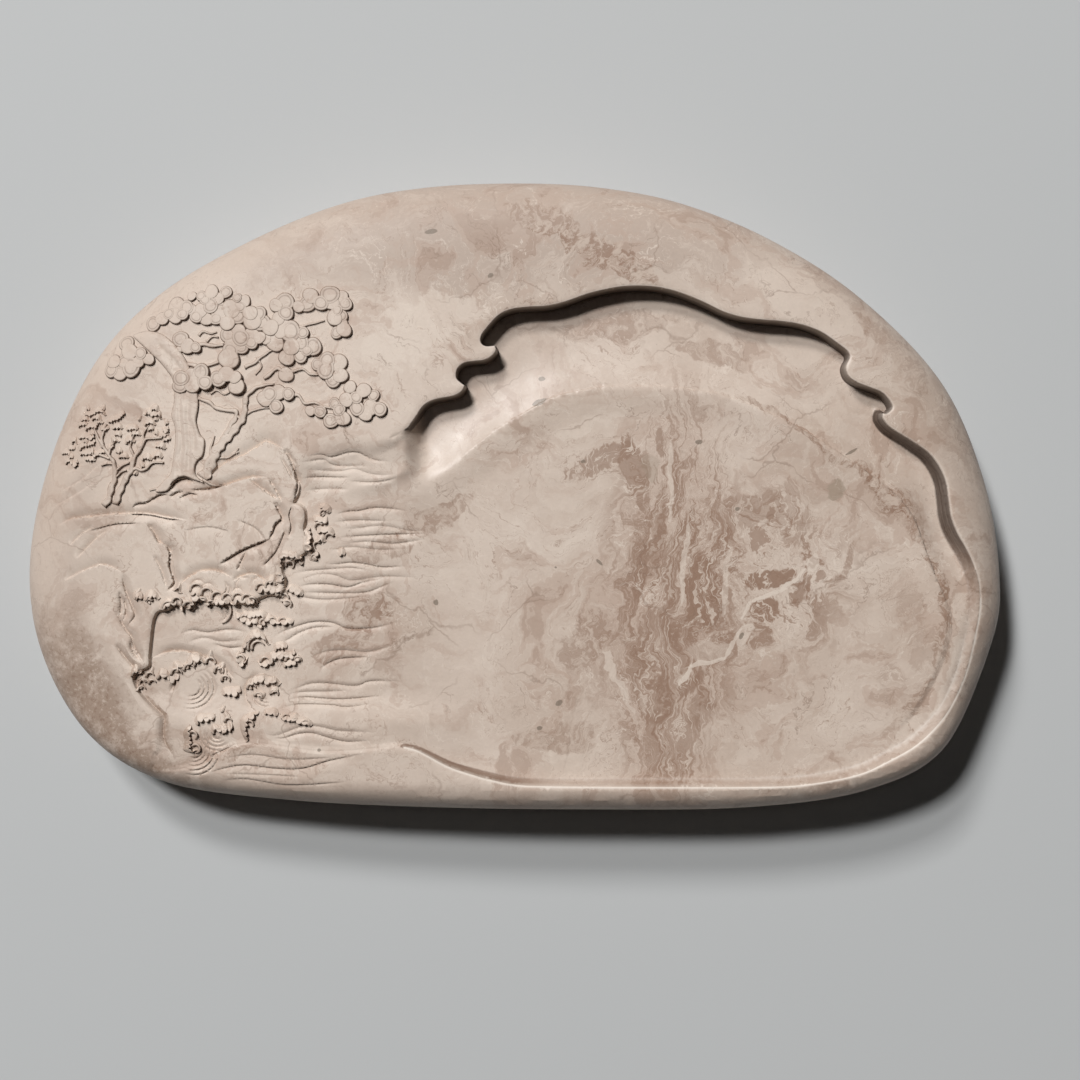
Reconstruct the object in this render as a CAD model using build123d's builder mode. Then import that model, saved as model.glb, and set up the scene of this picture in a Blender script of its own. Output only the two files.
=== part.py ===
from build123d import *
import os

# A carved stone inkstone: one flat-based, gently domed slab with an ink pool, a
# grinding hall and a landscape in low relief. Millimetres, +Z up, origin at the
# centre of the bounding box's lowest face, +X towards the pool's far end, +Y
# towards the bank above the pool.

# Driving dimensions
HALF_LENGTH = 130.0
HALF_WIDTH = 83.35
BLANK_HEIGHT = 40.0
DOME_TOP = 34.0
DOME_RADIUS = 2200.0
DOME_X = 30.0
DOME_Y = 25.0
TOP_EDGE_RADIUS = 12.0
BASE_EDGE_RADIUS = 10.0
HALL_FLOOR = 29.6
POOL_FLOOR = 26.6
LEAF_RELIEF = 1.1
TRUNK_RELIEF = 0.9
ROCK_RELIEF = 0.7
WAVE_RELIEF = 1.3
RIPPLE_RELIEF = 0.5
MOTIF_ROOT = 24.0

DOME_CENTRE = (DOME_X, DOME_Y, DOME_TOP - DOME_RADIUS)
DOME_TURN = (90, 0, 0)

os.makedirs("parts", exist_ok=True)


def save(name, part):
    """Label a finished piece and write its STEP file."""
    part.label = name
    export_step(part, "parts/" + name + ".step")


# ---------------------------------------------------------------- stone body
OUTLINE = [
    (-129.8, -19), (-124.3, 9), (-111.7, 36.1), (-94.3, 54.2), (-70, 68.3), (-45.2, 78.2),
    (-22.2, 82.4), (3, HALF_WIDTH), (24, 82.1), (45.1, 77.9), (68.5, 68.4), (92.2, 53.2),
    (114.2, 30.6), (125.7, 4.6), (HALF_LENGTH, -20), (128.2, -38.5), (115.4, -66.6),
    (94.1, -78.3), (62, -82.8), (20, -HALF_WIDTH), (-22.2, -82.8), (-60, -81),
    (-92.6, -76.4), (-113.6, -63.8), (-126.2, -43),
]

# The rim runs from the hill line on the left, over the cliff with its hooked
# notches, down the right wall and back along the low bottom wall.
HILL_LINE = [(-59, 12), (-52, 14.5), (-44, 16), (-37, 14.9), (-31, 15.2), (-27, 17.8)]
INNER_CORNER = [(-27, 17.8), (-23, 23.3), (-15.1, 25.7), (-12.4, 28.6)]
FIRST_NOTCH = [
    (-12.4, 28.6), (-14.5, 30.5), (-14.3, 32.7), (-12.6, 34.3), (-7.4, 35.1), (-4.2, 37.4),
    (-4.6, 38.8),
]
CLIFF = [
    (-4.6, 38.8), (-6.9, 38.7), (-8.2, 39.8), (-7.9, 41.7), (-3.3, 46.9), (3.8, 48.8),
    (13.8, 50.2), (25.9, 53.7), (35, 54.2), (45, 52), (55, 47.5), (65, 45.5), (75, 44.3),
    (83.6, 40.1), (87.4, 36.6), (86.6, 32.9), (89.8, 29.2), (96.1, 26.7), (98.6, 23),
    (96.2, 21.3),
]
RIGHT_WALL = [
    (96.2, 21.3), (97.3, 17.9), (103.1, 13.2), (109.5, 7.2), (112.1, -0.9), (115, -10),
    (119.4, -17.7), (121.7, -28),
]
LOWER_WALL = [
    (121.7, -28), (121.2, -36), (118.9, -46.2), (113.5, -57), (104.5, -65.7), (91.9, -72.2),
    (75, -75.5),
]
BOTTOM_WALL = [
    (10, -75.7), (-4, -74.3), (-16, -70.9), (-28, -65.5), (-40, -66.1), (-54, -66.2), (-66, -64.5),
    (-79, -68.5),
]
SHORE_LEFT = [
    (-140, -78), (-140, -10), (-119, -7.5), (-104, -4.5), (-92, 0.5), (-82, 3), (-75, 8.5),
    (-64.5, 12.5), (-59, 12),
]
RIDGE = [
    (113.5, -28), (110, -18), (106.5, -10), (101, -0.5), (92, 6.5), (80, 14.7), (65, 22.5), (52, 27),
    (36, 28.7), (20, 28.2), (4, 21.5), (-9, 13.5), (-20, 5), (-28, 3),
]
RIDGE_FOOT = [
    (116.5, -28), (113.5, -18), (110, -8), (104.5, 1.5), (95.5, 10), (83, 19), (67.5, 28),
    (53.5, 33.5), (36.5, 36), (17.5, 35), (-1, 27), (-13, 18.5), (-22, 9.5), (-28, 7),
]
POOL_LEFT = [(-28, 3), (-29.5, 10), (-27, 17.8)]
BLOCK_Y = -60


def blank(growth=0.0):
    """The uncut stone, or the same shape grown outwards by the height of a relief."""
    stretch_x = 1 + growth / HALF_LENGTH
    stretch_y = 1 + growth / HALF_WIDTH
    with BuildPart() as slab:
        with BuildSketch():
            with BuildLine():
                Spline(*[(x * stretch_x, y * stretch_y) for x, y in OUTLINE], periodic=True)
            make_face()
        extrude(amount=BLANK_HEIGHT)
        with Locations(DOME_CENTRE):
            Sphere(DOME_RADIUS + growth, rotation=DOME_TURN, mode=Mode.INTERSECT)
        fillet(slab.faces().sort_by(Axis.Z)[-1].edges(), TOP_EDGE_RADIUS + growth)
        fillet(slab.faces().sort_by(Axis.Z)[0].edges(), BASE_EDGE_RADIUS)
    return slab.part


# The pool's floor rises to the hall along a ramp, left by a tapered block.
with BuildPart() as pool_cutter:
    with BuildSketch(Plane.XY.offset(POOL_FLOOR)):
        with BuildLine():
            Spline(*INNER_CORNER)
            Spline(*FIRST_NOTCH)
            Spline(*CLIFF)
            Spline(*RIGHT_WALL)
            Line(RIGHT_WALL[-1], RIDGE[0])
            Spline(*RIDGE)
            Spline(*POOL_LEFT)
        make_face()
    extrude(amount=HALL_FLOOR - POOL_FLOOR)
    for height, crease in ((HALL_FLOOR, RIDGE), (POOL_FLOOR, RIDGE_FOOT)):
        with BuildSketch(Plane.XY.offset(height)):
            with BuildLine():
                Spline(*crease)
                Polyline(crease[-1], (crease[-1][0], BLOCK_Y), (crease[0][0], BLOCK_Y), crease[0])
            make_face()
    loft(ruled=True, mode=Mode.SUBTRACT)

with BuildPart() as stone_body:
    add(blank())
    with BuildSketch(Plane.XY.offset(HALL_FLOOR)):
        with BuildLine():
            Spline(*HILL_LINE)
            Spline(*INNER_CORNER)
            Spline(*FIRST_NOTCH)
            Spline(*CLIFF)
            Spline(*RIGHT_WALL)
            Spline(*LOWER_WALL)
            Line(LOWER_WALL[-1], BOTTOM_WALL[0])
            Spline(*BOTTOM_WALL)
            Line(BOTTOM_WALL[-1], SHORE_LEFT[0])
            Polyline(*SHORE_LEFT)
        make_face()
    extrude(amount=BLANK_HEIGHT - HALL_FLOOR, mode=Mode.SUBTRACT)
    add(pool_cutter.part, mode=Mode.SUBTRACT)
save("stone_body", stone_body.part)


# ------------------------------------------------------------- carved motifs
def motif(name, group, relief, top=BLANK_HEIGHT, discs=(), patches=(), strokes=(), width=1.0):
    """Save one motif in low relief, seated face to face on the stone below it.

    Discs are (x, y, radius), patches are closed outlines and strokes are open
    lines of the given width. The motif follows the stone's top at the given
    relief, is cut off flat at top where it stands on the hall's level, and gives
    way to the motifs already in its group.
    """
    with BuildPart() as carving:
        with BuildSketch(Plane.XY.offset(MOTIF_ROOT)):
            for x, y, radius in discs:
                with Locations((x, y)):
                    Circle(radius)
            for outline in patches:
                with BuildLine():
                    Polyline(*outline, close=True)
                make_face()
            for points in strokes:
                with BuildLine():
                    Polyline(*points)
                trace(line_width=width)
        extrude(amount=top - MOTIF_ROOT)
        add(RELIEF_CEILINGS[relief], mode=Mode.INTERSECT)
        add(stone_body.part, mode=Mode.SUBTRACT)
        for neighbour in group:
            add(neighbour, mode=Mode.SUBTRACT)
    save(name, carving.part)
    group.append(carving.part)


RELIEF_CEILINGS = {
    relief: blank(relief) for relief in (LEAF_RELIEF, TRUNK_RELIEF, ROCK_RELIEF, WAVE_RELIEF, RIPPLE_RELIEF)
}


# Pine tree on the left shoulder
pine = []
motif("pine_leaves_left_sprig", pine, LEAF_RELIEF, discs=[
    (-87.7, 49.4, 2.4), (-84.9, 49.1, 1.8), (-88, 47, 2), (-94, 45, 1.9), (-91.2, 46.2, 1.9),
])
motif("pine_leaves_low_left", pine, LEAF_RELIEF, discs=[
    (-101.2, 39.9, 2), (-100.2, 37.8, 2.2), (-97, 37, 1.8), (-94.8, 35.3, 1.6), (-99.5, 33.5, 2.6),
    (-102.8, 32.5, 2.4), (-105.3, 32.7, 1.9), (-104.5, 35.5, 2), (-97.4, 34.4, 1.8),
])
motif("pine_leaves_crown", pine, LEAF_RELIEF, discs=[
    (-75.8, 47.2, 2.2), (-73, 48.5, 2.4), (-78.5, 49.5, 2.2), (-81, 48.3, 2), (-82.3, 46.6, 1.8),
    (-79.6, 46, 1.9), (-74, 44.8, 2.1), (-71.3, 46.5, 2.2), (-78.4, 52.9, 1.9), (-74.4, 52.2, 1.8),
    (-82.2, 51.4, 1.8), (-70.4, 50, 1.9), (-67, 46.6, 2.4), (-64.5, 45, 2.3), (-62.6, 43.5, 2.1),
])
motif("pine_leaves_centre", pine, LEAF_RELIEF, discs=[
    (-73.8, 41.7, 2), (-70.5, 41, 2.3), (-67.6, 41.6, 2), (-67.8, 39.3, 2), (-72.6, 39.4, 2.1),
    (-73.2, 37.4, 2), (-73.3, 35.7, 2.8), (-70.3, 38.3, 2),
])
motif("pine_leaves_left_lobe", pine, LEAF_RELIEF, discs=[(-86.3, 41.6, 2.1), (-84.3, 39.9, 2)])
motif("pine_leaves_front", pine, LEAF_RELIEF, discs=[
    (-81, 31.6, 2.3), (-83.3, 31, 2), (-86, 30.4, 2), (-86.3, 28.5, 1.9), (-83.1, 28.6, 2),
    (-79.8, 29.4, 2), (-76.6, 30.3, 2.1), (-74.2, 31.2, 2), (-71.7, 30.4, 1.8), (-71.5, 28.2, 2),
])
motif("pine_leaves_upper_right", pine, LEAF_RELIEF, discs=[
    (-59, 50, 2.4), (-61.3, 49.2, 1.9), (-58.9, 47.2, 2.1), (-60.5, 45.6, 1.8), (-57.5, 42.5, 2.6),
    (-61.5, 39.7, 2.2), (-54.8, 39.5, 2.2), (-57.3, 38.7, 2.4), (-51.6, 38.4, 2.2),
    (-58.5, 35.9, 2.1), (-55, 36.5, 2.1), (-59.4, 44, 1.8),
])
motif("pine_leaves_top_right", pine, LEAF_RELIEF, discs=[
    (-52.3, 51.6, 2.2), (-47.2, 51.8, 2.4), (-44.5, 51, 2), (-43.3, 49.6, 1.8), (-46.8, 49.6, 2.1),
    (-49.8, 50.2, 2), (-53.2, 49.4, 2), (-46, 46.7, 2), (-44.2, 45.8, 1.8), (-43.6, 43.2, 1.9),
    (-45.5, 42, 1.6),
])
motif("pine_leaves_right", pine, LEAF_RELIEF, discs=[
    (-48, 35, 2.2), (-45, 34.4, 2.2), (-48.3, 32.8, 2.3), (-44.8, 31.2, 2.1), (-46.7, 29.8, 1.9),
])
motif("pine_leaves_lower_middle", pine, LEAF_RELIEF, discs=[
    (-60.6, 26.8, 2), (-63.4, 25.9, 2.2), (-58.2, 26.3, 1.7), (-61.3, 23.6, 1.9),
])
motif("pine_leaves_far_right", pine, LEAF_RELIEF, discs=[
    (-46.6, 20, 2), (-43.9, 20.3, 2), (-49.4, 21.4, 1.8), (-40.4, 22.3, 2.1), (-36.9, 22.7, 2.1),
    (-34.4, 22.2, 1.9), (-38, 21.2, 1.8), (-38.6, 26.4, 2.1), (-36, 25.4, 1.8), (-42, 27.4, 1.9),
    (-43, 25, 2), (-46, 23.6, 1.8), (-41, 24.6, 1.8),
])
motif("pine_trunk", pine, TRUNK_RELIEF, patches=[[
    (-93, 1.5), (-89, 6), (-88.3, 10), (-87.8, 16), (-88.6, 21), (-88.1, 25), (-88.6, 30),
    (-92, 35), (-96, 38.7), (-98.5, 40.6), (-97.5, 42), (-92.5, 41.5), (-88.5, 40), (-85.5, 36.5),
    (-84, 33.8), (-81.8, 28), (-81.8, 22), (-81.2, 16.5), (-80, 14.7), (-80.6, 10.3), (-82.4, 6.5),
    (-80, 3.6), (-84, 2), (-88, 1),
]])
motif("pine_second_trunk", pine, TRUNK_RELIEF, width=2.0, strokes=[
    [(-80, 5), (-78, 9.5), (-76.5, 12), (-74.5, 14.5), (-71.5, 17.5), (-69.8, 20.5), (-69.4, 24.5)],
    [(-69.6, 25), (-67.5, 27.4), (-64, 28.3)],
    [(-74.2, 15.5), (-72.8, 19), (-72.6, 22), (-76, 22.6), (-80, 25.2)],
])
motif("pine_upper_branches", pine, TRUNK_RELIEF, width=1.3, strokes=[
    [(-88, 37), (-82.5, 38.6), (-77.5, 39.2), (-74.5, 38.8)],
    [(-84, 33.2), (-78, 33.9), (-75.5, 34.8)],
    [(-64.5, 30.6), (-61, 32.8), (-57, 31.8), (-52.5, 31.2)],
])
motif("pine_lower_branches", pine, TRUNK_RELIEF, width=1.2, strokes=[
    [(-56.8, 26), (-54.3, 25.4), (-52, 23.8), (-46.5, 22.6)],
    [(-68.4, 21), (-65.5, 22.5), (-62.8, 22.6)],
])

# Small leafy tree at the left edge
small_tree = []
motif("small_tree_left_leaves", small_tree, LEAF_RELIEF, discs=[
    (-111, 20, 2), (-108, 20.7, 1.9), (-103.4, 19, 1.9), (-113, 17.4, 1.7), (-109.8, 17.4, 1.9),
    (-112.2, 14.6, 1.9), (-109.2, 14.6, 1.6), (-114, 11.7, 1.8), (-111, 11.9, 1.8),
    (-117, 10.5, 1.5), (-108, 10.8, 1.5), (-115.6, 8.9, 1.5), (-104.6, 13.4, 1.6),
    (-102.6, 16.2, 1.5),
])
motif("small_tree_right_leaves", small_tree, LEAF_RELIEF, discs=[
    (-94.6, 20.8, 1.7), (-92.4, 20.4, 1.6), (-99, 17, 1.6), (-95.2, 18, 1.7), (-90.4, 16.8, 1.6),
    (-90.2, 14, 1.6), (-98, 19.4, 1.3), (-92.6, 17.4, 1.5), (-91.6, 9.2, 1.6), (-99.6, 11.8, 1.2),
])
motif("small_tree_trunks", small_tree, TRUNK_RELIEF, width=1.3, strokes=[
    [(-103, -1.6), (-100.5, 5), (-98.9, 9), (-96, 13.5), (-92, 15.2)],
    [(-106, -2), (-104, 3.5), (-104.4, 9.5), (-107.3, 14.5), (-106.4, 18)],
    [(-99.4, 6.8), (-96, 7), (-92.5, 8.7)],
])

# Shore rocks
rocks = []
motif("peak_rock", rocks, ROCK_RELIEF, patches=[[
    (-80, 3.5), (-75, 8.5), (-70, 10.5), (-66.5, 12.5), (-64.5, 14), (-63, 13.8), (-59, 12),
    (-56.3, 8), (-56.7, 4), (-55.6, 0.5), (-57, -2), (-55.5, -2.5), (-54, -6.3), (-55, -10),
    (-59.3, -9), (-60.2, -5.8), (-62, -2), (-64, 4.8), (-70, 4.3), (-78, 1.8), (-81.5, 1.5),
]])
motif("boulder", rocks, ROCK_RELIEF, patches=[[
    (-86.8, -0.4), (-81.8, 1.3), (-78, 1.5), (-70, 4), (-64.2, 4.5), (-62.3, -2), (-60.5, -5.8),
    (-61.8, -8), (-63.3, -11.7), (-69, -13.5), (-76.5, -17.8), (-84, -16), (-89.2, -14.5),
    (-88, -10), (-84, -6.3), (-86.5, -3.5),
]])
motif("shore_ledge", rocks, ROCK_RELIEF, patches=[[
    (-119, -8), (-115.5, -6), (-110, -5.5), (-104, -4.7), (-96, -2.2), (-90, 0), (-87.2, -0.5),
    (-87, -3.6), (-84.8, -6.1), (-88.6, -10), (-93.5, -8.4), (-100, -7.6), (-108, -9),
    (-114, -12),
]])
motif("left_rock", rocks, ROCK_RELIEF, patches=[[
    (-114, -12.4), (-108, -9.4), (-100, -8), (-93.6, -8.8), (-92, -12), (-90, -14.5), (-89.6, -20),
    (-90.5, -24), (-97, -25), (-103, -22), (-110, -20), (-117, -22), (-118, -17),
]])

# Waves breaking against the shore
waves = []
WAVE_TOP = HALL_FLOOR + WAVE_RELIEF
motif("shore_shrub", waves, WAVE_RELIEF, top=WAVE_TOP, discs=[
    (-49.4, -4, 1.9), (-51, -7, 1.9), (-48, -9.6, 2), (-50.6, -11.2, 1.7), (-51.4, -15.2, 1.8),
    (-52.6, -9.3, 1.2), (-52.3, -13.2, 1.2),
])
motif("upper_wave_crest", waves, WAVE_RELIEF, top=WAVE_TOP, patches=[[
    (-93.5, -27.6), (-88, -24.5), (-86, -22.5), (-79, -19.5), (-73, -21.3), (-67, -20.7),
    (-64, -23), (-60, -25), (-58, -28.3), (-62, -27.6), (-67.8, -27.5), (-73, -28), (-79, -27.5),
    (-83.5, -28.3), (-87, -27.6), (-91, -29.8),
]])
motif("upper_wave_curl", waves, WAVE_RELIEF, top=WAVE_TOP, patches=[[
    (-79, -27.9), (-77, -29.3), (-76.3, -31), (-77.2, -33), (-74.5, -32.5), (-73.2, -30.5),
    (-73.3, -28.4),
]])
motif("left_spray", waves, WAVE_RELIEF, top=WAVE_TOP, discs=[
    (-98, -27.6, 1.4), (-95.5, -27.4, 1.5), (-101.5, -25.5, 1.2),
])
motif("shore_foam", waves, WAVE_RELIEF, top=WAVE_TOP, discs=[
    (-59.2, -17.4, 1.7), (-56.6, -17.2, 1.6), (-59.6, -20.8, 1.4), (-57.2, -24, 1.5),
    (-59.4, -23, 1.2),
])
motif("middle_foam", waves, WAVE_RELIEF, top=WAVE_TOP, patches=[[
    (-72, -31), (-69, -33.3), (-66, -34.7), (-62, -34), (-57, -33.2), (-57, -30.8), (-62, -31.2),
    (-67, -30.4),
]])
motif("shell_foam", waves, WAVE_RELIEF, top=WAVE_TOP, patches=[[
    (-72, -41), (-71, -44.3), (-66, -44.8), (-61, -43), (-55.2, -44.6), (-55, -41.4), (-59, -38.6),
    (-64, -39.6), (-66.5, -36.4), (-69.5, -37.6),
]])
motif("big_wave", waves, WAVE_RELIEF, top=WAVE_TOP, patches=[[
    (-95, -42.4), (-90, -40.7), (-84, -41), (-80, -42.5), (-76, -45), (-72.5, -49), (-75, -50),
    (-78.5, -47.5), (-81, -49.5), (-83.5, -52.5), (-88.5, -52), (-90, -48.6), (-93.5, -48),
]])
motif("left_foam_rings", waves, WAVE_RELIEF, top=WAVE_TOP, discs=[
    (-97.6, -46.4, 1.8), (-96.4, -49.4, 1.8), (-99, -49, 1.4),
])
motif("round_wave", waves, WAVE_RELIEF, top=WAVE_TOP, patches=[[
    (-66, -46.3), (-69.8, -50), (-69.5, -53), (-67, -56), (-64.6, -54.2), (-63.5, -51.6),
    (-60.5, -51.2), (-60.4, -49), (-62.5, -47),
]])
motif("low_left_foam", waves, WAVE_RELIEF, top=WAVE_TOP, patches=[[
    (-84, -59.8), (-84.6, -63), (-83.5, -67), (-79, -66.6), (-74.5, -64.4), (-73.2, -61),
    (-74, -57.4), (-79, -57.6),
]])
motif("low_right_foam", waves, WAVE_RELIEF, top=WAVE_TOP, patches=[[
    (-69, -64), (-69.6, -60), (-67.5, -57), (-63, -56.4), (-58, -57.4), (-52, -60.2), (-56, -61),
    (-61, -59.4), (-65.5, -60.2), (-66.4, -63),
]])
motif("low_swell", waves, RIPPLE_RELIEF, top=HALL_FLOOR + RIPPLE_RELIEF, patches=[[
    (-88, -68.5), (-83, -67.6), (-79, -68.9), (-76, -66.9), (-73, -65.8), (-68, -65.2),
    (-62, -65.8), (-68, -68), (-76, -71), (-84, -72.5),
]])

# Ripples that run out from the shore over the hall
ripples = []
RIPPLE_TOP = HALL_FLOOR + RIPPLE_RELIEF
motif("upper_ripples", ripples, RIPPLE_RELIEF, top=RIPPLE_TOP, strokes=[
    [(-54, 10.2), (-47, 10.4), (-41, 11.2), (-36, 9.6), (-32, 9)],
    [(-55, 6.8), (-45, 6.5), (-41, 7), (-37, 5.8), (-30.5, 6)],
    [(-54, 1.5), (-43, 1.8)],
    [(-46, -5), (-40, -3.8), (-31, -3.3), (-28, -4)],
    [(-46, -8), (-36, -7.8), (-27, -9), (-23, -9)],
    [(-44, -12.5), (-38, -11.8), (-30, -12.3), (-24, -11)],
])
motif("middle_ripples", ripples, RIPPLE_RELIEF, top=RIPPLE_TOP, strokes=[
    [(-49.5, -17.5), (-42, -17.3), (-34, -18.5), (-29, -18.2)],
    [(-54.4, -22), (-50, -20.3), (-42, -22), (-34, -21), (-25, -21.3)],
    [(-54, -25.4), (-44, -25.3), (-38, -25), (-32.3, -22)],
    [(-62, -36.5), (-56, -33.8), (-47, -33), (-43, -34.5), (-36, -34.3), (-30.5, -32.6)],
    [(-54, -43), (-48, -40.5), (-38, -40.7), (-32, -38.8)],
])
motif("lower_ripples", ripples, RIPPLE_RELIEF, top=RIPPLE_TOP, strokes=[
    [(-60, -51.8), (-53, -49), (-41, -49.5), (-37, -48.3), (-30, -48.5)],
    [(-60, -54.6), (-55, -52.5), (-45, -53), (-35, -52)],
    [(-50, -57), (-43, -55.6), (-38, -56)],
    [(-51, -60.6), (-45, -61.2), (-36.5, -61.5)],
    [(-60, -63.4), (-52, -61.9), (-43, -64), (-38, -63.5)],
])
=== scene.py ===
import math
import random

import bpy
import numpy as np
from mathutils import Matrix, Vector
from mathutils.geometry import delaunay_2d_cdt


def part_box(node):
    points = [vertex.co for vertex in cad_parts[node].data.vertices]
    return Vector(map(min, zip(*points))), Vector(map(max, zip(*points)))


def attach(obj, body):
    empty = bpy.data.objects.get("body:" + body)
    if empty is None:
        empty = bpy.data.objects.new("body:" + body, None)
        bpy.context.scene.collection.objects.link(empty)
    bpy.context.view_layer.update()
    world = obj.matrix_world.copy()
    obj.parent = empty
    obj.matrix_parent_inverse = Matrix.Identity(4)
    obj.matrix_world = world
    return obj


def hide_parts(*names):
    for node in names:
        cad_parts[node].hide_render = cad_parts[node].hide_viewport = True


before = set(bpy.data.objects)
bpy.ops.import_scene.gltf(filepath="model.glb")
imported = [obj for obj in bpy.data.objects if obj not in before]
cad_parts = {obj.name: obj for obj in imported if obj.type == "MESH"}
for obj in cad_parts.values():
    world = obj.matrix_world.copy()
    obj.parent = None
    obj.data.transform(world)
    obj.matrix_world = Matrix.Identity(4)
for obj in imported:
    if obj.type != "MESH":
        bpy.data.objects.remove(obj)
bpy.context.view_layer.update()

# A carved inkstone. Lengths below are in millimetres unless a comment says otherwise,
# in the frame of the CAD part: +Z up, +Y towards the bank above the ink pool.
MM = 0.001
SEED = 7
rng = random.Random(SEED)

# The slab: its shallow dome, and how the top and the base roll over at the edge
DOME_TOP = 34.0
DOME_RADIUS = 2200.0
DOME_CENTRE = (30.0, 25.0)
TOP_EDGE = 13.0
EDGE_REACH = 21.0
LOW_EDGE_REACH = 8.5
LOW_EDGE_FROM = -48
LOW_EDGE_RUN = 22
BASE_EDGE = 10.0
INSIDE_CAD = 0.9995

# The hollow: hall, pool, and the water by the shore
HALL_LEVEL = 29.6
HALL_DISH = 0.7
HALL_DISH_RUN = 9.0
HALL_FALL = 0.3
HALL_FALL_RUN = 45.0
POOL_DEPTH = 3.0
SHORE_STEP = 1.7
LOW_SHORE_STEP = 0.45
LOW_SHORE_FROM = -50
LOW_SHORE_RUN = 10
HILL_STEP = 0.8
HILL_REACH = 8
SHORE_BLEND = 1.2

# The rim: its bevel, the foot of its wall, and the band of painted highlight along its arris and
# the toe of its lower wall
RIM_BEVEL = 0.8
BEVEL_DROP = 0.3
FOOT = 1.35
SOFT_WALL = 2.5
ARRIS_IN = 0.3
ARRIS_OUT = 0.5
TOE_HALF = 0.35

FAR = 1e3
TINY = 1e-12
POINTS_AT_ONCE = 4_000_000

body_low, body_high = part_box("stone_body")


# ------------------------------------------------------------------ curves
def smooth(points, step=0.6, closed=False):
    """Points spaced about step apart on a Catmull-Rom curve through the given points."""
    points = np.array(points, float)
    count = len(points)
    if closed:
        ends = [points[-1:], points, points[:2]]
    else:
        ends = [2 * points[:1] - points[1:2], points, 2 * points[-1:] - points[-2:-1]]
    ctrl = np.vstack(ends)
    spans = count if closed else count - 1
    out = []
    for i in range(spans):
        a, b, c, d = ctrl[i : i + 4]
        steps = max(1, int(round(np.linalg.norm(c - b) / step)))
        for k in range(steps):
            t = k / steps
            bend = (2 * a - 5 * b + 4 * c - d) * t * t + (3 * b - a - 3 * c + d) * t ** 3
            out.append(0.5 * (2 * b + (c - a) * t + bend))
    if not closed:
        out.append(ctrl[-2])
    return np.array(out)


def nearest(xy, line, closed=False):
    """Distance, side (+1 left of the line) and share of the length, at each point."""
    line = np.asarray(line, float)
    start, end = line, np.roll(line, -1, axis=0)
    if not closed:
        start, end = line[:-1], line[1:]
    along = end - start
    length2 = np.maximum((along ** 2).sum(1), TINY)
    lengths = np.sqrt(length2)
    before = np.concatenate([[0], np.cumsum(lengths)])[:-1]
    total = lengths.sum()
    dist, side, share = np.empty((3, len(xy)))
    block = max(1, POINTS_AT_ONCE // len(start))
    for i in range(0, len(xy), block):
        p = xy[i : i + block, None, :] - start[None]
        t = np.clip((p * along).sum(2) / length2, 0, 1)
        off = p - t[..., None] * along
        d2 = (off ** 2).sum(2)
        k = d2.argmin(1)
        rows = np.arange(len(k))
        dist[i : i + block] = np.sqrt(d2[rows, k])
        cross = along[k, 0] * p[rows, k, 1] - along[k, 1] * p[rows, k, 0]
        side[i : i + block] = np.where(cross >= 0, 1.0, -1.0)
        share[i : i + block] = (before[k] + t[rows, k] * lengths[k]) / total
    return dist, side, share


def inside(xy, polygon):
    """True at each point that lies inside the closed polygon."""
    polygon = np.asarray(polygon, float)
    x, y = xy[:, 0], xy[:, 1]
    hit = np.zeros(len(xy), bool)
    x1, y1 = polygon[-1]
    for x2, y2 in polygon:
        if y1 != y2:
            crosses = (y1 > y) != (y2 > y)
            hit ^= crosses & (x < (x2 - x1) * (y - y1) / (y2 - y1) + x1)
        x1, y1 = x2, y2
    return hit


def unit_rows(rows, least=1e-9):
    """Each row scaled to length one."""
    return rows / np.maximum(np.linalg.norm(rows, axis=1, keepdims=True), least)


def ease(t):
    """0 to 1 with level ends."""
    t = np.clip(t, 0, 1)
    return t * t * (3 - 2 * t)


# ------------------------------------------------------------ plan outlines
OUTLINE = [
    (-129.8, -19), (-124.3, 9), (-111.7, 36.1), (-94.3, 54.2), (-70, 68.3), (-45.2, 78.2),
    (-22.2, 82.4), (3, 83.35), (24, 82.1), (45.1, 77.9), (68.5, 68.4), (92.2, 53.2), (114.2, 30.6),
    (125.7, 4.6), (130, -20), (128.2, -38.5), (115.4, -66.6), (94.1, -78.3), (62, -82.8),
    (20, -83.35), (-22.2, -82.8), (-60, -81), (-92.6, -76.4), (-113.6, -63.8), (-126.2, -43),
]
HILL = [
    (-58.6, 11.6), (-56, 12.5), (-52, 14.5), (-48, 15.8), (-44, 16), (-40, 15.6), (-37, 14.9),
    (-34, 14.8), (-31, 15.2), (-29, 16.2), (-27, 17.8),
]
CORNER = [
    (-27, 17.8), (-25.5, 19.8), (-23, 23.3), (-20, 24.9), (-15.1, 25.9), (-13, 27.2), (-12.4, 28.6),
]
NOTCH = [
    (-12.4, 28.6), (-13.3, 29.2), (-14.5, 30.5), (-14.3, 32.7), (-12.6, 34.3), (-10, 34.8),
    (-7.4, 35.1), (-5.4, 36.1), (-4.2, 37.6), (-4.6, 38.8),
]
CLIFF = [
    (-4.6, 38.8), (-6.9, 38.7), (-8.2, 39.8), (-7.9, 41.7), (-5.9, 44.3), (-3.3, 46.9), (0, 48.3),
    (3.8, 48.8), (9, 49.1), (13.8, 50.2), (19.8, 52.3), (25.9, 53.7), (30, 54.2), (35, 54.2),
    (40, 53.5), (45, 52), (50, 49.9), (55, 47.5), (60, 46.1), (65, 45.5), (70, 45.1), (75, 44.3),
    (80, 42.5), (83.6, 40.1), (87, 37.5), (87.6, 35.8), (86.8, 34.1), (86.6, 32.7), (87.5, 30.7),
    (89.8, 29.2), (93, 28), (96.1, 26.7), (98.2, 24.3), (98.7, 22.7), (97.4, 21.4), (96.2, 21.3),
]
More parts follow.
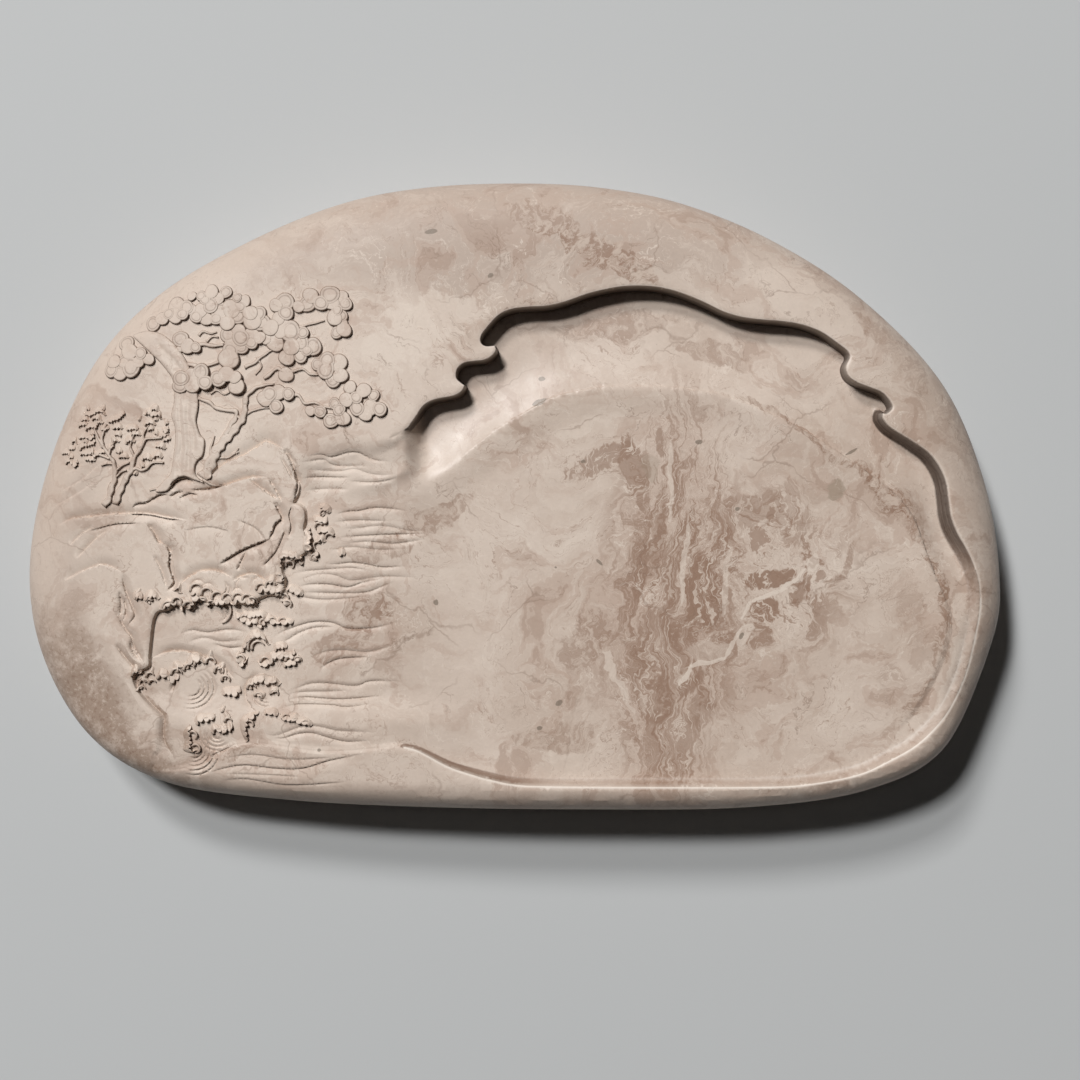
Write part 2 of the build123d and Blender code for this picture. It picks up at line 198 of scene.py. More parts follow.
RIGHT_WALL = [
    (96.2, 21.3), (96.1, 20.3), (97.8, 18), (100.8, 16), (104.4, 13.8), (108.4, 11), (111.2, 7.4),
    (112.9, 3.5), (113.6, -0.9), (114.3, -5.6), (116.1, -10), (118.3, -13.6), (120.4, -17.7),
    (121.8, -22), (122.3, -27),
]
LOWER_WALL = [
    (122.3, -27), (122, -31.3), (120.3, -40.6), (118.9, -46.2), (116.6, -51.9), (113.5, -57),
    (109.1, -61.9), (104.5, -65.7), (98, -69.3), (91.9, -72.2), (85, -74), (75, -75.5), (65, -75.9),
    (40, -75.9), (10, -75.7), (0, -75.2), (-8, -73.5),
]
LOW_BEND = [(-8, -73.5), (-16, -70.9), (-22, -67.8), (-25, -66.3), (-28, -65.5)]
SWELL_EDGE = [
    (-28, -65.5), (-31, -65.2), (-35, -65.6), (-40, -66.1), (-48, -66.5), (-54, -66.2),
    (-60, -65.3), (-66, -64.5), (-70, -64.6), (-73, -65.2), (-76, -66.5), (-79, -68.5),
    (-84, -70.6), (-89, -71.6), (-94.4, -71.2),
]
SHORE = [
    (-94.4, -71.2), (-94, -68), (-92.6, -66.3), (-92.8, -61), (-92.4, -57.8), (-95, -55),
    (-98, -51.5), (-99.5, -48), (-98.4, -46), (-95.4, -44.5), (-95.2, -42), (-94.9, -39),
    (-94.3, -34), (-93.7, -31.5), (-92.5, -30), (-90, -29.6), (-88.5, -28.2), (-86, -28.8),
    (-84, -28.8), (-82.6, -26.9), (-80.5, -27), (-78.8, -28), (-75.5, -28), (-72.5, -27.7),
    (-70, -27.9), (-67.8, -27.3), (-64, -25.8), (-60.5, -25.5), (-59.3, -22.6), (-60, -20),
    (-59.8, -17.6), (-56.6, -16.4), (-53.4, -14), (-53.6, -11), (-54.4, -8.5), (-54, -6.3),
    (-54.2, -3.8), (-55.5, -2.5), (-57, -2), (-56.6, -0.8), (-55.8, 0.5), (-55.4, 3), (-56.5, 4.2),
    (-56.6, 6), (-56.3, 8), (-57.3, 9.5), (-58.6, 11.6),
]
RIDGE = [
    (-27.5, 1.5), (-20, 5.2), (-13, 10.2), (-4, 17.5), (4, 22.3), (10, 25.6), (15, 27), (20, 28),
    (25, 28.6), (36, 28.7), (42, 28.4), (52, 27), (60, 24.6), (70, 20.3), (80, 14.7), (88, 9.5),
    (95, 4.5), (101, -0.5), (105, -6), (108, -14), (110.6, -21), (113.5, -28), (117, -36),
]

outline = smooth(OUTLINE, 1.5, closed=True)
scale = (
    np.array([body_high[0] - body_low[0], body_high[1] - body_low[1]]) / MM
    / (outline.max(0) - outline.min(0))
)
middle = np.array([body_high[0] + body_low[0], body_high[1] + body_low[1]]) / MM / 2
outline = (outline - (outline.max(0) + outline.min(0)) / 2) * scale * INSIDE_CAD + middle

# Each stretch of the rim of the carved hollow: its line, and how far its wall slopes
# into the hollow at the start and at the end
RIM = {
    "hill": (smooth(HILL, 0.8), 14.0, 0.9),
    "corner": (smooth(CORNER, 0.5), 0.9, 0.5),
    "notch": (smooth(NOTCH, 0.3), 0.5, 0.5),
    "cliff": (smooth(CLIFF, 0.45), 0.5, 0.5),
    "right_wall": (smooth(RIGHT_WALL, 0.6), 1.3, 2.7),
    "lower_wall": (smooth(LOWER_WALL, 0.9), 2.7, 1.5),
    "low_bend": (smooth(LOW_BEND, 0.8), 1.5, 0.9),
    "swell_edge": (smooth(SWELL_EDGE, 0.8), 1.0, 0.8),
    "shore": (smooth(SHORE, 0.45), 0.55, 0.55),
}
POOL_WALLS = ("corner", "notch", "cliff", "right_wall")
FRONT_WALLS = ("lower_wall", "low_bend")
rim = np.vstack([line[:-1] for line, _, _ in RIM.values()])
ridge = smooth(RIDGE, 1.0)
hill = smooth(HILL, 2.0)


# ---------------------------------------------------------- height of the top
def blank_height(xy):
    """Top of the uncut stone: a shallow dome that rolls over at its edge."""
    dome = DOME_TOP - ((xy - DOME_CENTRE) ** 2).sum(1) / (2 * DOME_RADIUS)
    edge, _, _ = nearest(xy, outline, closed=True)
    edge = np.where(inside(xy, outline), edge, 0)
    low = ease((LOW_EDGE_FROM - xy[:, 1]) / LOW_EDGE_RUN)
    reach = EDGE_REACH + (LOW_EDGE_REACH - EDGE_REACH) * low
    outward = 1 - np.clip(edge / reach, 0, 1)
    return dome - TOP_EDGE * (1 - np.sqrt(1 - outward ** 3))


def highlight_and_shade(xy):
    """Shares of painted highlight on the arris and the toe, and of wall darkening (painted shade
    and ink stain in the pool, stain lower down), at each point of the rim and its wall.
    """
    share, ink_and_shade = np.zeros((2, len(xy)))
    hollow = inside(xy, rim)
    for name in POOL_WALLS + FRONT_WALLS:
        line, wide, wide_end = RIM[name]
        gap, _, along = nearest(xy, line)
        arris = np.where(hollow, 1 - gap / ARRIS_IN, 1 - gap / ARRIS_OUT)
        share = np.maximum(share, (1.0 if name in FRONT_WALLS else 0.5) * np.clip(arris, 0, 1))
        width = wide + (wide_end - wide) * along
        # Painted shade with ink stain runs down each wall into the hollow
        down_wall = ease(2.2 * (1 - gap / (FOOT * width)))
        ink_and_shade = np.maximum(ink_and_shade, np.where(hollow & (gap > 0.02), down_wall, 0))
        # The toe of the lower wall gets a line of painted highlight too
        if name == "lower_wall":
            toe = np.clip(1 - np.abs(gap - width) / TOE_HALF, 0, 1)
            toe *= np.clip(width - wide_end, 0, 1) * ease(along / 0.12)
            share = np.maximum(share, np.where(hollow, 0.6 * toe, 0))
    return share, ink_and_shade


def hollow_floor(xy, top):
    """Floor of the hollow: dished hall, pool beyond the ridge, and the water by the shore."""
    gap, side, share = nearest(xy, ridge)
    in_pool = side > 0
    far = np.full(len(xy), FAR)
    for name in POOL_WALLS:
        far = np.minimum(far, nearest(xy, RIM[name][0])[0])
    across = gap / np.maximum(gap + far, 1e-6)
    ends = ease(share / 0.07) * ease((1 - share) / 0.16)
    trough = POOL_DEPTH * (1 - (1 - np.clip(across * 1.25, 0, 1)) ** 2)
    dish = HALL_DISH * ease(gap / HALL_DISH_RUN) + HALL_FALL * ease(gap / HALL_FALL_RUN)
    floor = HALL_LEVEL - np.where(in_pool, trough * ends + dish * (1 - ends), dish)
    low = ease((LOW_SHORE_FROM - xy[:, 1]) / LOW_SHORE_RUN)
    shore = top - SHORE_STEP - (LOW_SHORE_STEP - SHORE_STEP) * low
    by_hill = ease(1 - nearest(xy, hill)[0] / HILL_REACH)
    shore = shore + (SHORE_STEP - HILL_STEP) * by_hill
    blend = np.clip(0.5 + (shore - floor) / SHORE_BLEND, 0, 1)
    deep = shore * (1 - blend) + floor * blend - SHORE_BLEND / 2 * blend * (1 - blend)
    # The water runs out into the hall later and more steeply in the cove under the hill
    cove = ease((xy[:, 1] + 2) / 9)
    shelf_end = -50 + 21.5 * cove + 13 * low
    shelf_run = 36 - 30.5 * cove - 6 * low
    into_hall = ease((xy[:, 0] - shelf_end) / shelf_run)
    return deep + (1 - into_hall) * np.clip(shore - deep, 0, None)


def base_height(xy):
    """Top of the stone without the fine strokes: bank, rim wall and hollow."""
    xy = np.asarray(xy, float)
    top = blank_height(xy)
    hollow = inside(xy, rim)
    rise = np.zeros(len(xy))
    nearest_rim = np.full(len(xy), FAR)
    for line, wide, wide_end in RIM.values():
        gap, _, share = nearest(xy, line)
        width = wide + (wide_end - wide) * share
        t = np.clip(1 - gap / width, 0, 1)
        rise = np.maximum(rise, np.where(width > SOFT_WALL, ease(t), t ** 1.5))
        nearest_rim = np.where(width < 3, np.minimum(nearest_rim, gap), nearest_rim)
    bevel = BEVEL_DROP * np.clip(1 - nearest_rim / RIM_BEVEL, 0, 1)
    floor = hollow_floor(xy, top)
    return np.where(hollow, floor + (top - bevel - floor) * rise, top - bevel)


# ------------------------------------------------------------------- strokes
# A stroke is one cut of the chisel: along its line the ground drops by depth on one
# side, and runs out again over the given width.
STROKES = []


def cut(points, depth, width, side=-1, taper=0.25, step=0.5):
    """Adds one stroke. side is -1 to drop the ground on the right of the line."""
    STROKES.append((smooth(points, step), depth, width, side, taper))


def stroke_height(xy):
    """Sum of all strokes at each point."""
    z = np.zeros(len(xy))
    for line, depth, width, side, taper in STROKES:
        low, high = line.min(0) - width, line.max(0) + width
        near = np.where(((xy > low) & (xy < high)).all(1))[0]
        if len(near) == 0:
            continue
        gap, which, share = nearest(xy[near], line)
        ends = ease(np.minimum(share, 1 - share) / taper)
        at_end = (share <= 0) | (share >= 1)
        fall = np.clip(1 - gap / width, 0, 1) ** 2
        hit = (which == side) & ~at_end
        z[near] -= np.where(hit, depth * ends * fall, 0)
    return z


def height(xy):
    """Top of the finished stone."""
    xy = np.atleast_2d(np.asarray(xy, float))
    return base_height(xy) + stroke_height(xy)


def arc(x, y, radius, start, end, squash=1.0):
    """Points on an arc, with angles in degrees."""
    turn = np.radians(np.linspace(start, end, 7))
    return np.column_stack([x + radius * np.cos(turn), y + radius * squash * np.sin(turn)])


# Rock faces: points, depth, width and side of each stroke
ROCK_DEPTH = 1.5
ROCK_WIDTH = 0.85
for points, depth, width, side in [
    (
        [(-80, 3.5), (-75, 8.3), (-70, 10.5), (-66.5, 12.5), (-64.5, 14), (-63, 13.8), (-59, 12)],
        0.55, 4.5, 1,
    ),
    ([(-83, 1.3), (-78, 1.8), (-74, 3), (-70, 4.3), (-66, 4.8), (-63.8, 5)], 0.7, 3.2, 1),
    ([(-84, 1.6), (-79, 2), (-75, 3)], 0.5, 2.5, -1),
    ([(-68.8, 4.4), (-65, 1.5), (-60.8, -1.2)], 0.55, 3, 1),
    ([(-63.6, 4.6), (-61.5, 1), (-60, -1.7)], 0.5, 2, 1),
    ([(-60.5, 10), (-58.3, 6.3), (-57, 3.6)], 0.3, 1.5, 1),
    (
        [(-62.3, -1.4), (-61, -4), (-60.2, -5.8), (-61.8, -7.6), (-62.8, -10), (-63.3, -11.7)],
        0.8, 3.5, 1,
    ),
    ([(-62.8, -11.2), (-66, -12.3), (-69, -13.5), (-72, -15), (-76.8, -18)], 0.8, 3.2, 1),
    ([(-69.6, -14.4), (-71, -17.5), (-72, -19.4)], 0.5, 2, 1),
    ([(-60.7, -12.6), (-62, -15), (-65, -18.2)], 0.5, 2, 1),
    ([(-61.2, -14), (-60, -11), (-59, -8.6)], 0.45, 2, -1),
    ([(-56.8, -1.6), (-56, 3.4), (-57, 7), (-58.2, 10), (-59.8, 12.2)], 0.7, 2, -1),
    ([(-57.2, -2.4), (-58.2, -5), (-57.6, -8), (-58.4, -11)], 0.45, 2, 1),
    (
        [
            (-120, -8.4), (-115.5, -6), (-110, -5.5), (-104, -4.8), (-96, -4.6), (-90, -5.6),
            (-84, -6.4),
        ],
        0.5, 3.4, 1,
    ),
    ([(-101, -4.7), (-95, -4.9), (-90, -5.9), (-86, -6.3)], 0.5, 3, -1),
    ([(-116, -13), (-112.5, -10), (-109.4, -8)], 0.35, 2.5, 1),
    ([(-114, -16.5), (-108.5, -11), (-105, -8.6)], 0.4, 3, 1),
    ([(-111, -9.2), (-104, -7.4), (-97, -7)], 0.3, 2.5, -1),
    ([(-95.6, -7.2), (-93.5, -10), (-92.5, -12), (-90.8, -12.5)], 0.7, 3.5, 1),
    (
        [(-91.4, -12), (-89.7, -14.3), (-89.7, -18), (-89.3, -20), (-88.5, -22.4), (-90.3, -25)],
        0.8, 3.5, 1,
    ),
    ([(-94, -15.5), (-92, -19), (-90.4, -24)], 0.4, 2, 1),
    ([(-118, -22.5), (-112, -19.5), (-107, -18), (-102, -19.8)], 0.35, 3.5, 1),
    ([(-72, -6), (-67, -8.2), (-64, -11.4)], 0.2, 2.5, -1),
    ([(-86, -9), (-79, -8), (-73, -9.4)], 0.16, 4, -1),
    ([(-99.4, -3.2), (-98, -2), (-96, -1.8), (-94, -0.8), (-92, 0.3), (-89.6, 0.3)], 0.6, 2.2, -1),
    ([(-89.4, -0.2), (-87.5, 1), (-85.7, 1.2)], 0.6, 1.8, -1),
    ([(-87, -0.6), (-85, 0.4), (-83.5, 0.7), (-81.7, 0.1)], 0.5, 1.8, -1),
    ([(-89, 1.4), (-88.3, 3.6), (-86.5, 4.4), (-84.6, 4.6), (-82.8, 3.4)], 1.0, 2.6, -1),
    ([(-119, 1), (-113, 4), (-107, 9)], 0.12, 3, 1),
    ([(-121, -3), (-114, 0.5), (-108, 4.5)], 0.12, 3, 1), ([(-117, 6), (-112, 8.5)], 0.1, 2.5, 1),
]:
    cut(points, ROCK_DEPTH * depth, ROCK_WIDTH * width, side, taper=0.2)

# Crease where the floor of the hall breaks down into the ink pool
cut(RIDGE[2:], 0.3, 3.0, 1, taper=0.15, step=1.0)
cut(RIDGE[12:], 0.3, 2.0, 1, taper=0.2, step=1.0)
# Toe of the slope that climbs to the right wall
TOE = np.array([
    (111.5, -19), (113, -27), (113.6, -34.7), (112, -42), (109, -49), (104, -57), (97, -64),
])
for shift in (0, 0.6, 1.2):
    cut(TOE + (shift, 0), 0.18, 6.5, 1, taper=0.3, step=1.0)

# Reeds and cracks on the left shore
for points in [
    [(-102, -19.6), (-101.5, -24), (-100, -28), (-98.9, -31), (-100, -33), (-101.2, -35)],
    [(-103, -24.6), (-102.6, -28), (-102.8, -32)], [(-102, -26), (-101.3, -30), (-102, -33)],
    [(-104.6, -29), (-102.5, -33), (-101, -35.5), (-99.8, -37), (-99, -40), (-96, -43.8)],
    [(-104.4, -38.5), (-101, -43), (-97.6, -46.4)],
    [(-100.2, -37.6), (-99.6, -40.6), (-97.2, -43.4)],
]:
    cut(points, 1.1, 2.0, 1, taper=0.3)
    cut(points, 0.5, 1.2, -1, taper=0.3)
for points in [
    [(-97.6, -51.6), (-94.6, -54.8), (-91.6, -57.6), (-91.6, -60.6), (-91.4, -64), (-89, -68)],
    [(-88.2, -46.2), (-88.8, -49), (-90, -51.4)],
]:
    cut(points, 0.7, 1.3, -1)
    cut(points, 1.0, 1.2, 1)

# Ripples over the hall and swirls in the waves
RIPPLES = [
    [(-54.6, 10), (-50, 10.8), (-47, 10.2), (-43, 11.3), (-40, 11.3), (-36, 9.5), (-31, 9)],
    [(-55.4, 8.6), (-52, 9.2), (-49, 9.5), (-46, 8), (-37, 8)],
    [(-55.4, 7), (-50, 6.7), (-45, 6.5), (-41, 7), (-37, 5.8), (-33, 5.5), (-29, 6)],
    [(-55, 4.5), (-51, 5), (-42, 4.8)], [(-43, 4), (-37, 3.6), (-33, 4), (-29, 5.2)],
    [(-54, 1.5), (-48, 1.9), (-42, 1.8)],
    [(-47, -5), (-43, -4), (-40, -3.8), (-36, -3), (-31, -3.3), (-27, -4)],
    [(-47, -6.8), (-41, -6.3), (-32, -6.5)],
    [(-45, -8.5), (-40, -8.3), (-36, -7.8), (-32, -8), (-27, -9), (-21, -9)],
    [(-46, -11), (-42, -10.5), (-33, -10), (-22, -9.8)],
    [(-45, -12.5), (-38, -11.8), (-34, -12.2), (-30, -12.3), (-22, -11)],
    [(-49, -13.5), (-46, -13.9), (-42, -13.3), (-34, -14), (-28, -13.5)],
    [(-50, -17.5), (-46, -17.7), (-42, -17.3), (-38, -17.8), (-34, -18.5), (-27, -18.2)],
    [(-58, -20), (-54, -19.5), (-46, -18.9), (-42, -18.7), (-36, -19.5)],
    [(-57, -23), (-54, -21.3), (-50, -20.3), (-46, -20.7), (-42, -22), (-34, -21), (-23, -21.3)],
    [(-57, -24), (-53, -23), (-48, -23), (-43, -23.7), (-39, -22.5), (-33, -21.3)],
    [(-56, -25), (-44, -25.3), (-38, -25), (-34, -23.5), (-30, -22)],
    [(-60, -23.5), (-57, -25.5), (-54, -26.5), (-48, -27), (-36, -26)],
    [
        (-64, -37.5), (-60, -35.3), (-56, -33.8), (-52, -32.8), (-47, -33), (-43, -34.5),
        (-36, -34.3), (-29, -32.4),
    ],
    [(-62, -39.5), (-58, -37), (-55, -35.3), (-51, -34.2), (-45, -34.2)],
    [
        (-54, -43), (-51, -41.3), (-48, -40.5), (-44, -40.2), (-38, -40.7), (-34, -39.8),
        (-30, -38.8),
    ],
    [(-51, -45.5), (-47, -43), (-43, -42.2), (-37, -42)],
    [(-60, -51.5), (-56, -50), (-53, -49), (-49, -48.8), (-41, -49.5), (-37, -48.3), (-28, -48.5)],
    [(-60, -52.5), (-56, -51.3), (-47, -51), (-42, -50.5)],
    [(-60, -53.7), (-55, -52.5), (-45, -53), (-33, -52)],
    [(-62, -56), (-57, -54.5), (-48, -54.5), (-43, -55), (-36, -54)],
    [
        (-66, -61.5), (-62, -62.5), (-57, -60.8), (-54, -59.9), (-50, -60.2), (-45, -61.2),
        (-35, -61.5),
    ],
    [(-64, -63), (-60, -63.2), (-56, -62), (-52, -61.8), (-48, -63), (-43, -64), (-36, -63.5)],
    [(-88, -36.5), (-84, -35), (-80, -35.6), (-74, -34.8), (-69, -35.6)],
    [(-86, -38.6), (-81, -37), (-76, -38), (-70, -37.4)], [(-79, -38.4), (-74, -39.6), (-70, -39)],
]
for number, points in enumerate(RIPPLES):
    cut(points, 0.56 - 0.1 * (number % 3), 1.5, -1, taper=0.3)
    cut(points, 0.24, 1.0, 1, taper=0.3)
# Backs of the larger waves, and long lines on the low swell
for points, depth, width, side in [
    (
        [(-95, -42.8), (-90, -40.8), (-84, -41.1), (-80, -42.6), (-76, -45), (-72.4, -48.4)],
        0.9, 2.4, 1,
    ),
    (
        [(-87.4, -23.8), (-86, -22.5), (-83, -20.5), (-79, -19.4), (-76, -20), (-72.8, -21.5)],
        1.0, 3, 1,
    ),
    ([(-73, -22.4), (-70, -20.8), (-67, -20.6), (-63.6, -22.4)], 0.9, 2.5, 1),
    (
        [(-66, -46.2), (-68.5, -48), (-69.8, -50.5), (-69.5, -53), (-68, -55.3), (-66.6, -56.4)],
        0.6, 2, -1,
    ),
    ([(-80, -68.4), (-76, -66.5), (-73, -65.2)], 0.35, 2.5, -1),
    (
        [
            (-82, -73.2), (-76, -71.2), (-70, -70.2), (-62, -71), (-55, -71), (-48, -69),
            (-38, -66.8),
        ],
        0.4, 2.6, -1,
    ),
    ([(-78, -74.6), (-70, -73.8), (-60, -75.3), (-50, -75), (-42, -74.2)], 0.35, 2.6, -1),
    ([(-76, -68.6), (-68, -67.4), (-58, -68.6), (-46, -68)], 0.25, 2.2, -1),
    ([(-76.5, -72.4), (-66, -72.6), (-54, -73.2)], 0.2, 2.0, -1),
]:
    cut(points, depth, width, side)
# Swirls: centre, radii, first and last angle, squash, depth and width
for x, y, radii, start, end, squash, depth, width in [
    (-84.5, -50, (2.6, 3.7, 4.9, 6.2), 62, -118, 0.9, 0.5, 1.0),
    (-83.4, -66.6, (2.0, 3.0, 4.1, 5.3, 6.6), 20, -125, 0.95, 0.45, 1.0),
    (-77.2, -62.2, (1.7, 2.7, 3.8, 4.9), 150, 330, 0.95, 0.45, 0.9),
    (-64.4, -51.8, (1.8, 2.8, 3.8), 170, 300, 0.9, 0.4, 0.9),
]:
    for radius in radii:
        cut(arc(x, y, radius, start, end, squash), depth, width, 1, taper=0.35)
for x, y, radius, start, end in [
    (-77.6, -29.4, 3.4, 40, -80), (-76.9, -29.6, 2.3, 30, -70), (-82, -23.6, 1.5, 200, 20),
    (-79.3, -24.6, 1.6, 210, 30), (-76.4, -23.9, 1.9, 60, -90), (-75, -24.3, 1.3, 60, -90),
    (-69.6, -23.6, 2.2, 220, 60), (-66, -22.8, 1.4, 190, 20), (-71.5, -25.2, 1.0, 200, 20),
]:
    cut(arc(x, y, radius, start, end), 0.45, 0.9, 1, taper=0.3)


# ------------------------------------------------------------ top surface mesh
REGIONS = {
    "peak_rock": [
        (-80.6, 3), (-75, 8.3), (-70, 10.5), (-66.5, 12.5), (-64.5, 14), (-63, 13.8), (-59, 12),
        (-57.6, 9.4), (-56.6, 8), (-56.8, 6), (-56.6, 4.4), (-55.8, 3), (-56.1, 0.6), (-57, -1),
        (-57.2, -2), (-58.2, -5), (-57.6, -8), (-58.4, -11), (-59.3, -9), (-60.2, -5.8), (-61, -4),
        (-62.3, -1.4), (-64, 4.8), (-70, 4.3), (-78, 1.8),
    ],
    "boulder": [
        (-86.8, -0.6), (-81.8, 0.6), (-78, 1.8), (-70, 4.3), (-64, 4.8), (-62.3, -1.4), (-61, -4),
        (-60.2, -5.8), (-61.8, -7.6), (-62.8, -10), (-63.3, -11.7), (-66, -12.3), (-69, -13.5),
        (-76.8, -18), (-84, -16.4), (-89.2, -14.8), (-90.6, -12.6), (-88, -9), (-84, -6.4),
        (-86, -3.5),
    ],
    "shore_ledge": [
        (-120, -8.4), (-115.5, -6), (-110, -5.5), (-104, -4.8), (-99.4, -3.2), (-94, -0.8),
        (-89.6, 0), (-86.8, -0.6), (-86, -3.5), (-84, -6.4), (-88, -9), (-93, -8), (-95.6, -7.2),
        (-104, -7.4), (-111, -9.2), (-116, -13),
    ],
    "left_rock": [
        (-116, -13), (-111, -9.2), (-104, -7.4), (-95.6, -7.2), (-93.5, -10), (-92.5, -12),
        (-90.8, -12.5), (-89.7, -14.3), (-89.7, -18), (-89.3, -20), (-88.5, -22.4), (-90.3, -25),
        (-96, -24), (-102, -19.8), (-107, -18), (-112, -19.5), (-118, -22.5),
    ],
    "upper_wave_crest": [
        (-92, -28.2), (-89.4, -26), (-86, -22.5), (-83, -20.5), (-79, -19.4), (-76, -20),
        (-72.8, -21.5), (-70, -20.8), (-67, -20.6), (-63.6, -22.4), (-61, -24.6), (-64, -25.2),
        (-67.8, -26.8), (-70, -27.4), (-72.5, -27.2), (-75.5, -27.4), (-78.8, -27.4),
        (-80.5, -26.4), (-82.6, -26.3), (-84, -28.2), (-86, -28.2), (-88.5, -27.6), (-90, -28.8),
    ],
    "big_wave": [
        (-95, -42.8), (-90, -40.8), (-84, -41.1), (-80, -42.6), (-76, -45), (-72.4, -48.4),
        (-74, -53), (-78, -57), (-86, -58), (-91.6, -56), (-94.4, -50),
    ],
    "round_wave": [
        (-66, -46.2), (-68.5, -48), (-69.8, -50.5), (-69.5, -53), (-68, -55.3), (-63, -55.6),
        (-60.4, -52.6), (-60.2, -48.6), (-62.6, -46.6),
    ],
    "low_swell": [
        (-79, -69.4), (-76, -67.2), (-73, -65.9), (-70, -65.3), (-66, -65.2), (-60, -66),
        (-54, -67), (-48, -67.4), (-38, -67), (-48, -69.6), (-55, -71.6), (-62, -71.6),
        (-70, -70.8), (-76, -71.8), (-82, -73.8),
    ],
    "upper_ripples": [
        (-55, 11.4), (-42, 13), (-30, 10.5), (-20, -7), (-20, -13), (-30, -15.4), (-49, -15),
        (-50.5, -12), (-46.5, -3), (-54, 0),
    ],
    "middle_ripples": [
        (-58.6, -19), (-50, -16.6), (-26, -16.6), (-22, -23), (-28, -41), (-38, -43.4), (-52, -45),
        (-54, -40), (-66, -38.5), (-57, -32), (-58.6, -26),
    ],
    "lower_ripples": [
        (-59.4, -50.4), (-50, -47.4), (-27, -47.6), (-31, -56), (-34, -64.6), (-58, -64),
        (-66.4, -62.6), (-60, -57.6), (-59.6, -54),
    ],
}
# How far the stone body lies below the caps that cover the regions
PILLOW = 0.5
CAP_THICK = 0.4
ROW_PITCH = 0.87

# Grids of surface points: lowest and highest corner, and pitch
BANK_GRID = ((-131, -84), (131, 84), 1.7)
HALL_GRID = ((-30, -77), (123, 56), 1.25)
CARVED_GRID = ((-121, -77), (-24, 16), 0.75)
HALL_FROM = -24


def grid(low, high, pitch):
    """Staggered grid of points over a rectangle."""
    rows = []
    for i, y in enumerate(np.arange(low[1], high[1], pitch * ROW_PITCH)):
        x = np.arange(low[0] + (i % 2) * pitch / 2, high[0], pitch)
        rows.append(np.column_stack([x, np.full(len(x), y)]))
    return np.vstack(rows)


def offset_line(line, distance):
    """The line moved to its left by distance."""
    along = unit_rows(np.gradient(line, axis=0))
    return line + distance * np.column_stack([-along[:, 1], along[:, 0]])


def surface_points():
    """Points of the top surface and the edges that its triangles keep."""
    along = unit_rows(np.roll(outline, -1, axis=0) - np.roll(outline, 1, axis=0))
    inward = np.column_stack([-along[:, 1], along[:, 0]])
    if not inside(outline[:1] + inward[:1], outline)[0]:
        inward = -inward
    points, edges, count = [outline], [], len(outline)
    edges += [(i, (i + 1) % count) for i in range(count)]
    for turn in (8, 16, 25, 35, 46, 58, 72):
        points.append(outline + inward * TOP_EDGE * (1 - math.cos(math.radians(turn))))
    count = sum(len(p) for p in points)
    edges += [(count + i, count + (i + 1) % len(rim)) for i in range(len(rim))]
    points.append(rim)
    for region in REGIONS.values():
        line = smooth(region, 1.0, closed=True)
        count = sum(len(p) for p in points)
        edges += [(count + i, count + (i + 1) % len(line)) for i in range(len(line))]
        points.append(line)
    for line, wide, wide_end in RIM.values():
        share = np.linspace(0, 1, len(line))
        width = (wide + (wide_end - wide) * share)[:, None]
        for part in (0.12, 0.5, 1.0, FOOT):
            points.append(line + (offset_line(line, -1) - line) * width * part)
        for gap in (0.2, 0.55):
            points.append(offset_line(line, gap))
    for line, _, _, side, _ in STROKES:
        for gap in (-0.06, 0.06, 0.35 * side, 0.8 * side):
            points.append(offset_line(line, gap))
    bank, hall, carved = (grid(*sizes) for sizes in (BANK_GRID, HALL_GRID, CARVED_GRID))
    (west, _), (_, north), _ = CARVED_GRID
    in_carved = (bank[:, 0] < HALL_FROM) & (bank[:, 0] > west) & (bank[:, 1] < north)
    bank = bank[~inside(bank, rim) & ~in_carved]
    hall = hall[inside(hall, rim) & (hall[:, 0] > HALL_FROM)]
    points += [bank, hall, carved]
    xy = np.vstack(points)
    fixed = sum(len(p) for p in points[:-3])
    keep = np.ones(len(xy), bool)
    keep[len(outline) :] = inside(xy[len(outline) :], outline + inward * 0.06)
    keep[fixed:] &= nearest(xy[fixed:], outline, closed=True)[0] > 1.0
    keep[: max(max(e) for e in edges) + 1] = True
    number = np.cumsum(keep) - 1
    edges = [(int(number[a]), int(number[b])) for a, b in edges]
    return xy[keep], edges, inward


def new_object(name, vertices, faces):
    """A mesh object from points in millimetres."""
    mesh = bpy.data.meshes.new(name)
    places = (np.asarray(vertices, float) * MM).tolist()
    mesh.from_pydata(places, [], [list(map(int, f)) for f in faces])
    mesh.polygons.foreach_set("use_smooth", [True] * len(mesh.polygons))
    mesh.update()
    piece = bpy.data.objects.new(name, mesh)
    bpy.context.scene.collection.objects.link(piece)
    return piece


def add_shares(piece, name, values):
    """Stores one value from 0 to 1 at each point of the mesh, for its material to read."""
    made = piece.data.attributes.new(name, "FLOAT", "POINT")
    made.data.foreach_set("value", np.asarray(values, np.float32))


def triangulate(xy, edges):
    """A flat mesh that keeps the edges: its points, its anticlockwise triangles, whether
    each has an area, and the middle of each."""
    result = delaunay_2d_cdt([Vector(p) for p in xy], edges, [], 0, 1e-4)
    flat = np.array([(v.x, v.y) for v in result[0]])
    tris = np.array([f for f in result[2] if len(f) == 3])
    a, b, c = (flat[tris[:, i]] for i in range(3))
    twice = (b[:, 0] - a[:, 0]) * (c[:, 1] - a[:, 1]) - (b[:, 1] - a[:, 1]) * (c[:, 0] - a[:, 0])
    tris[twice < 0] = tris[twice < 0][:, ::-1]
    return flat, tris, np.abs(twice) > 1e-7, (a + b + c) / 3


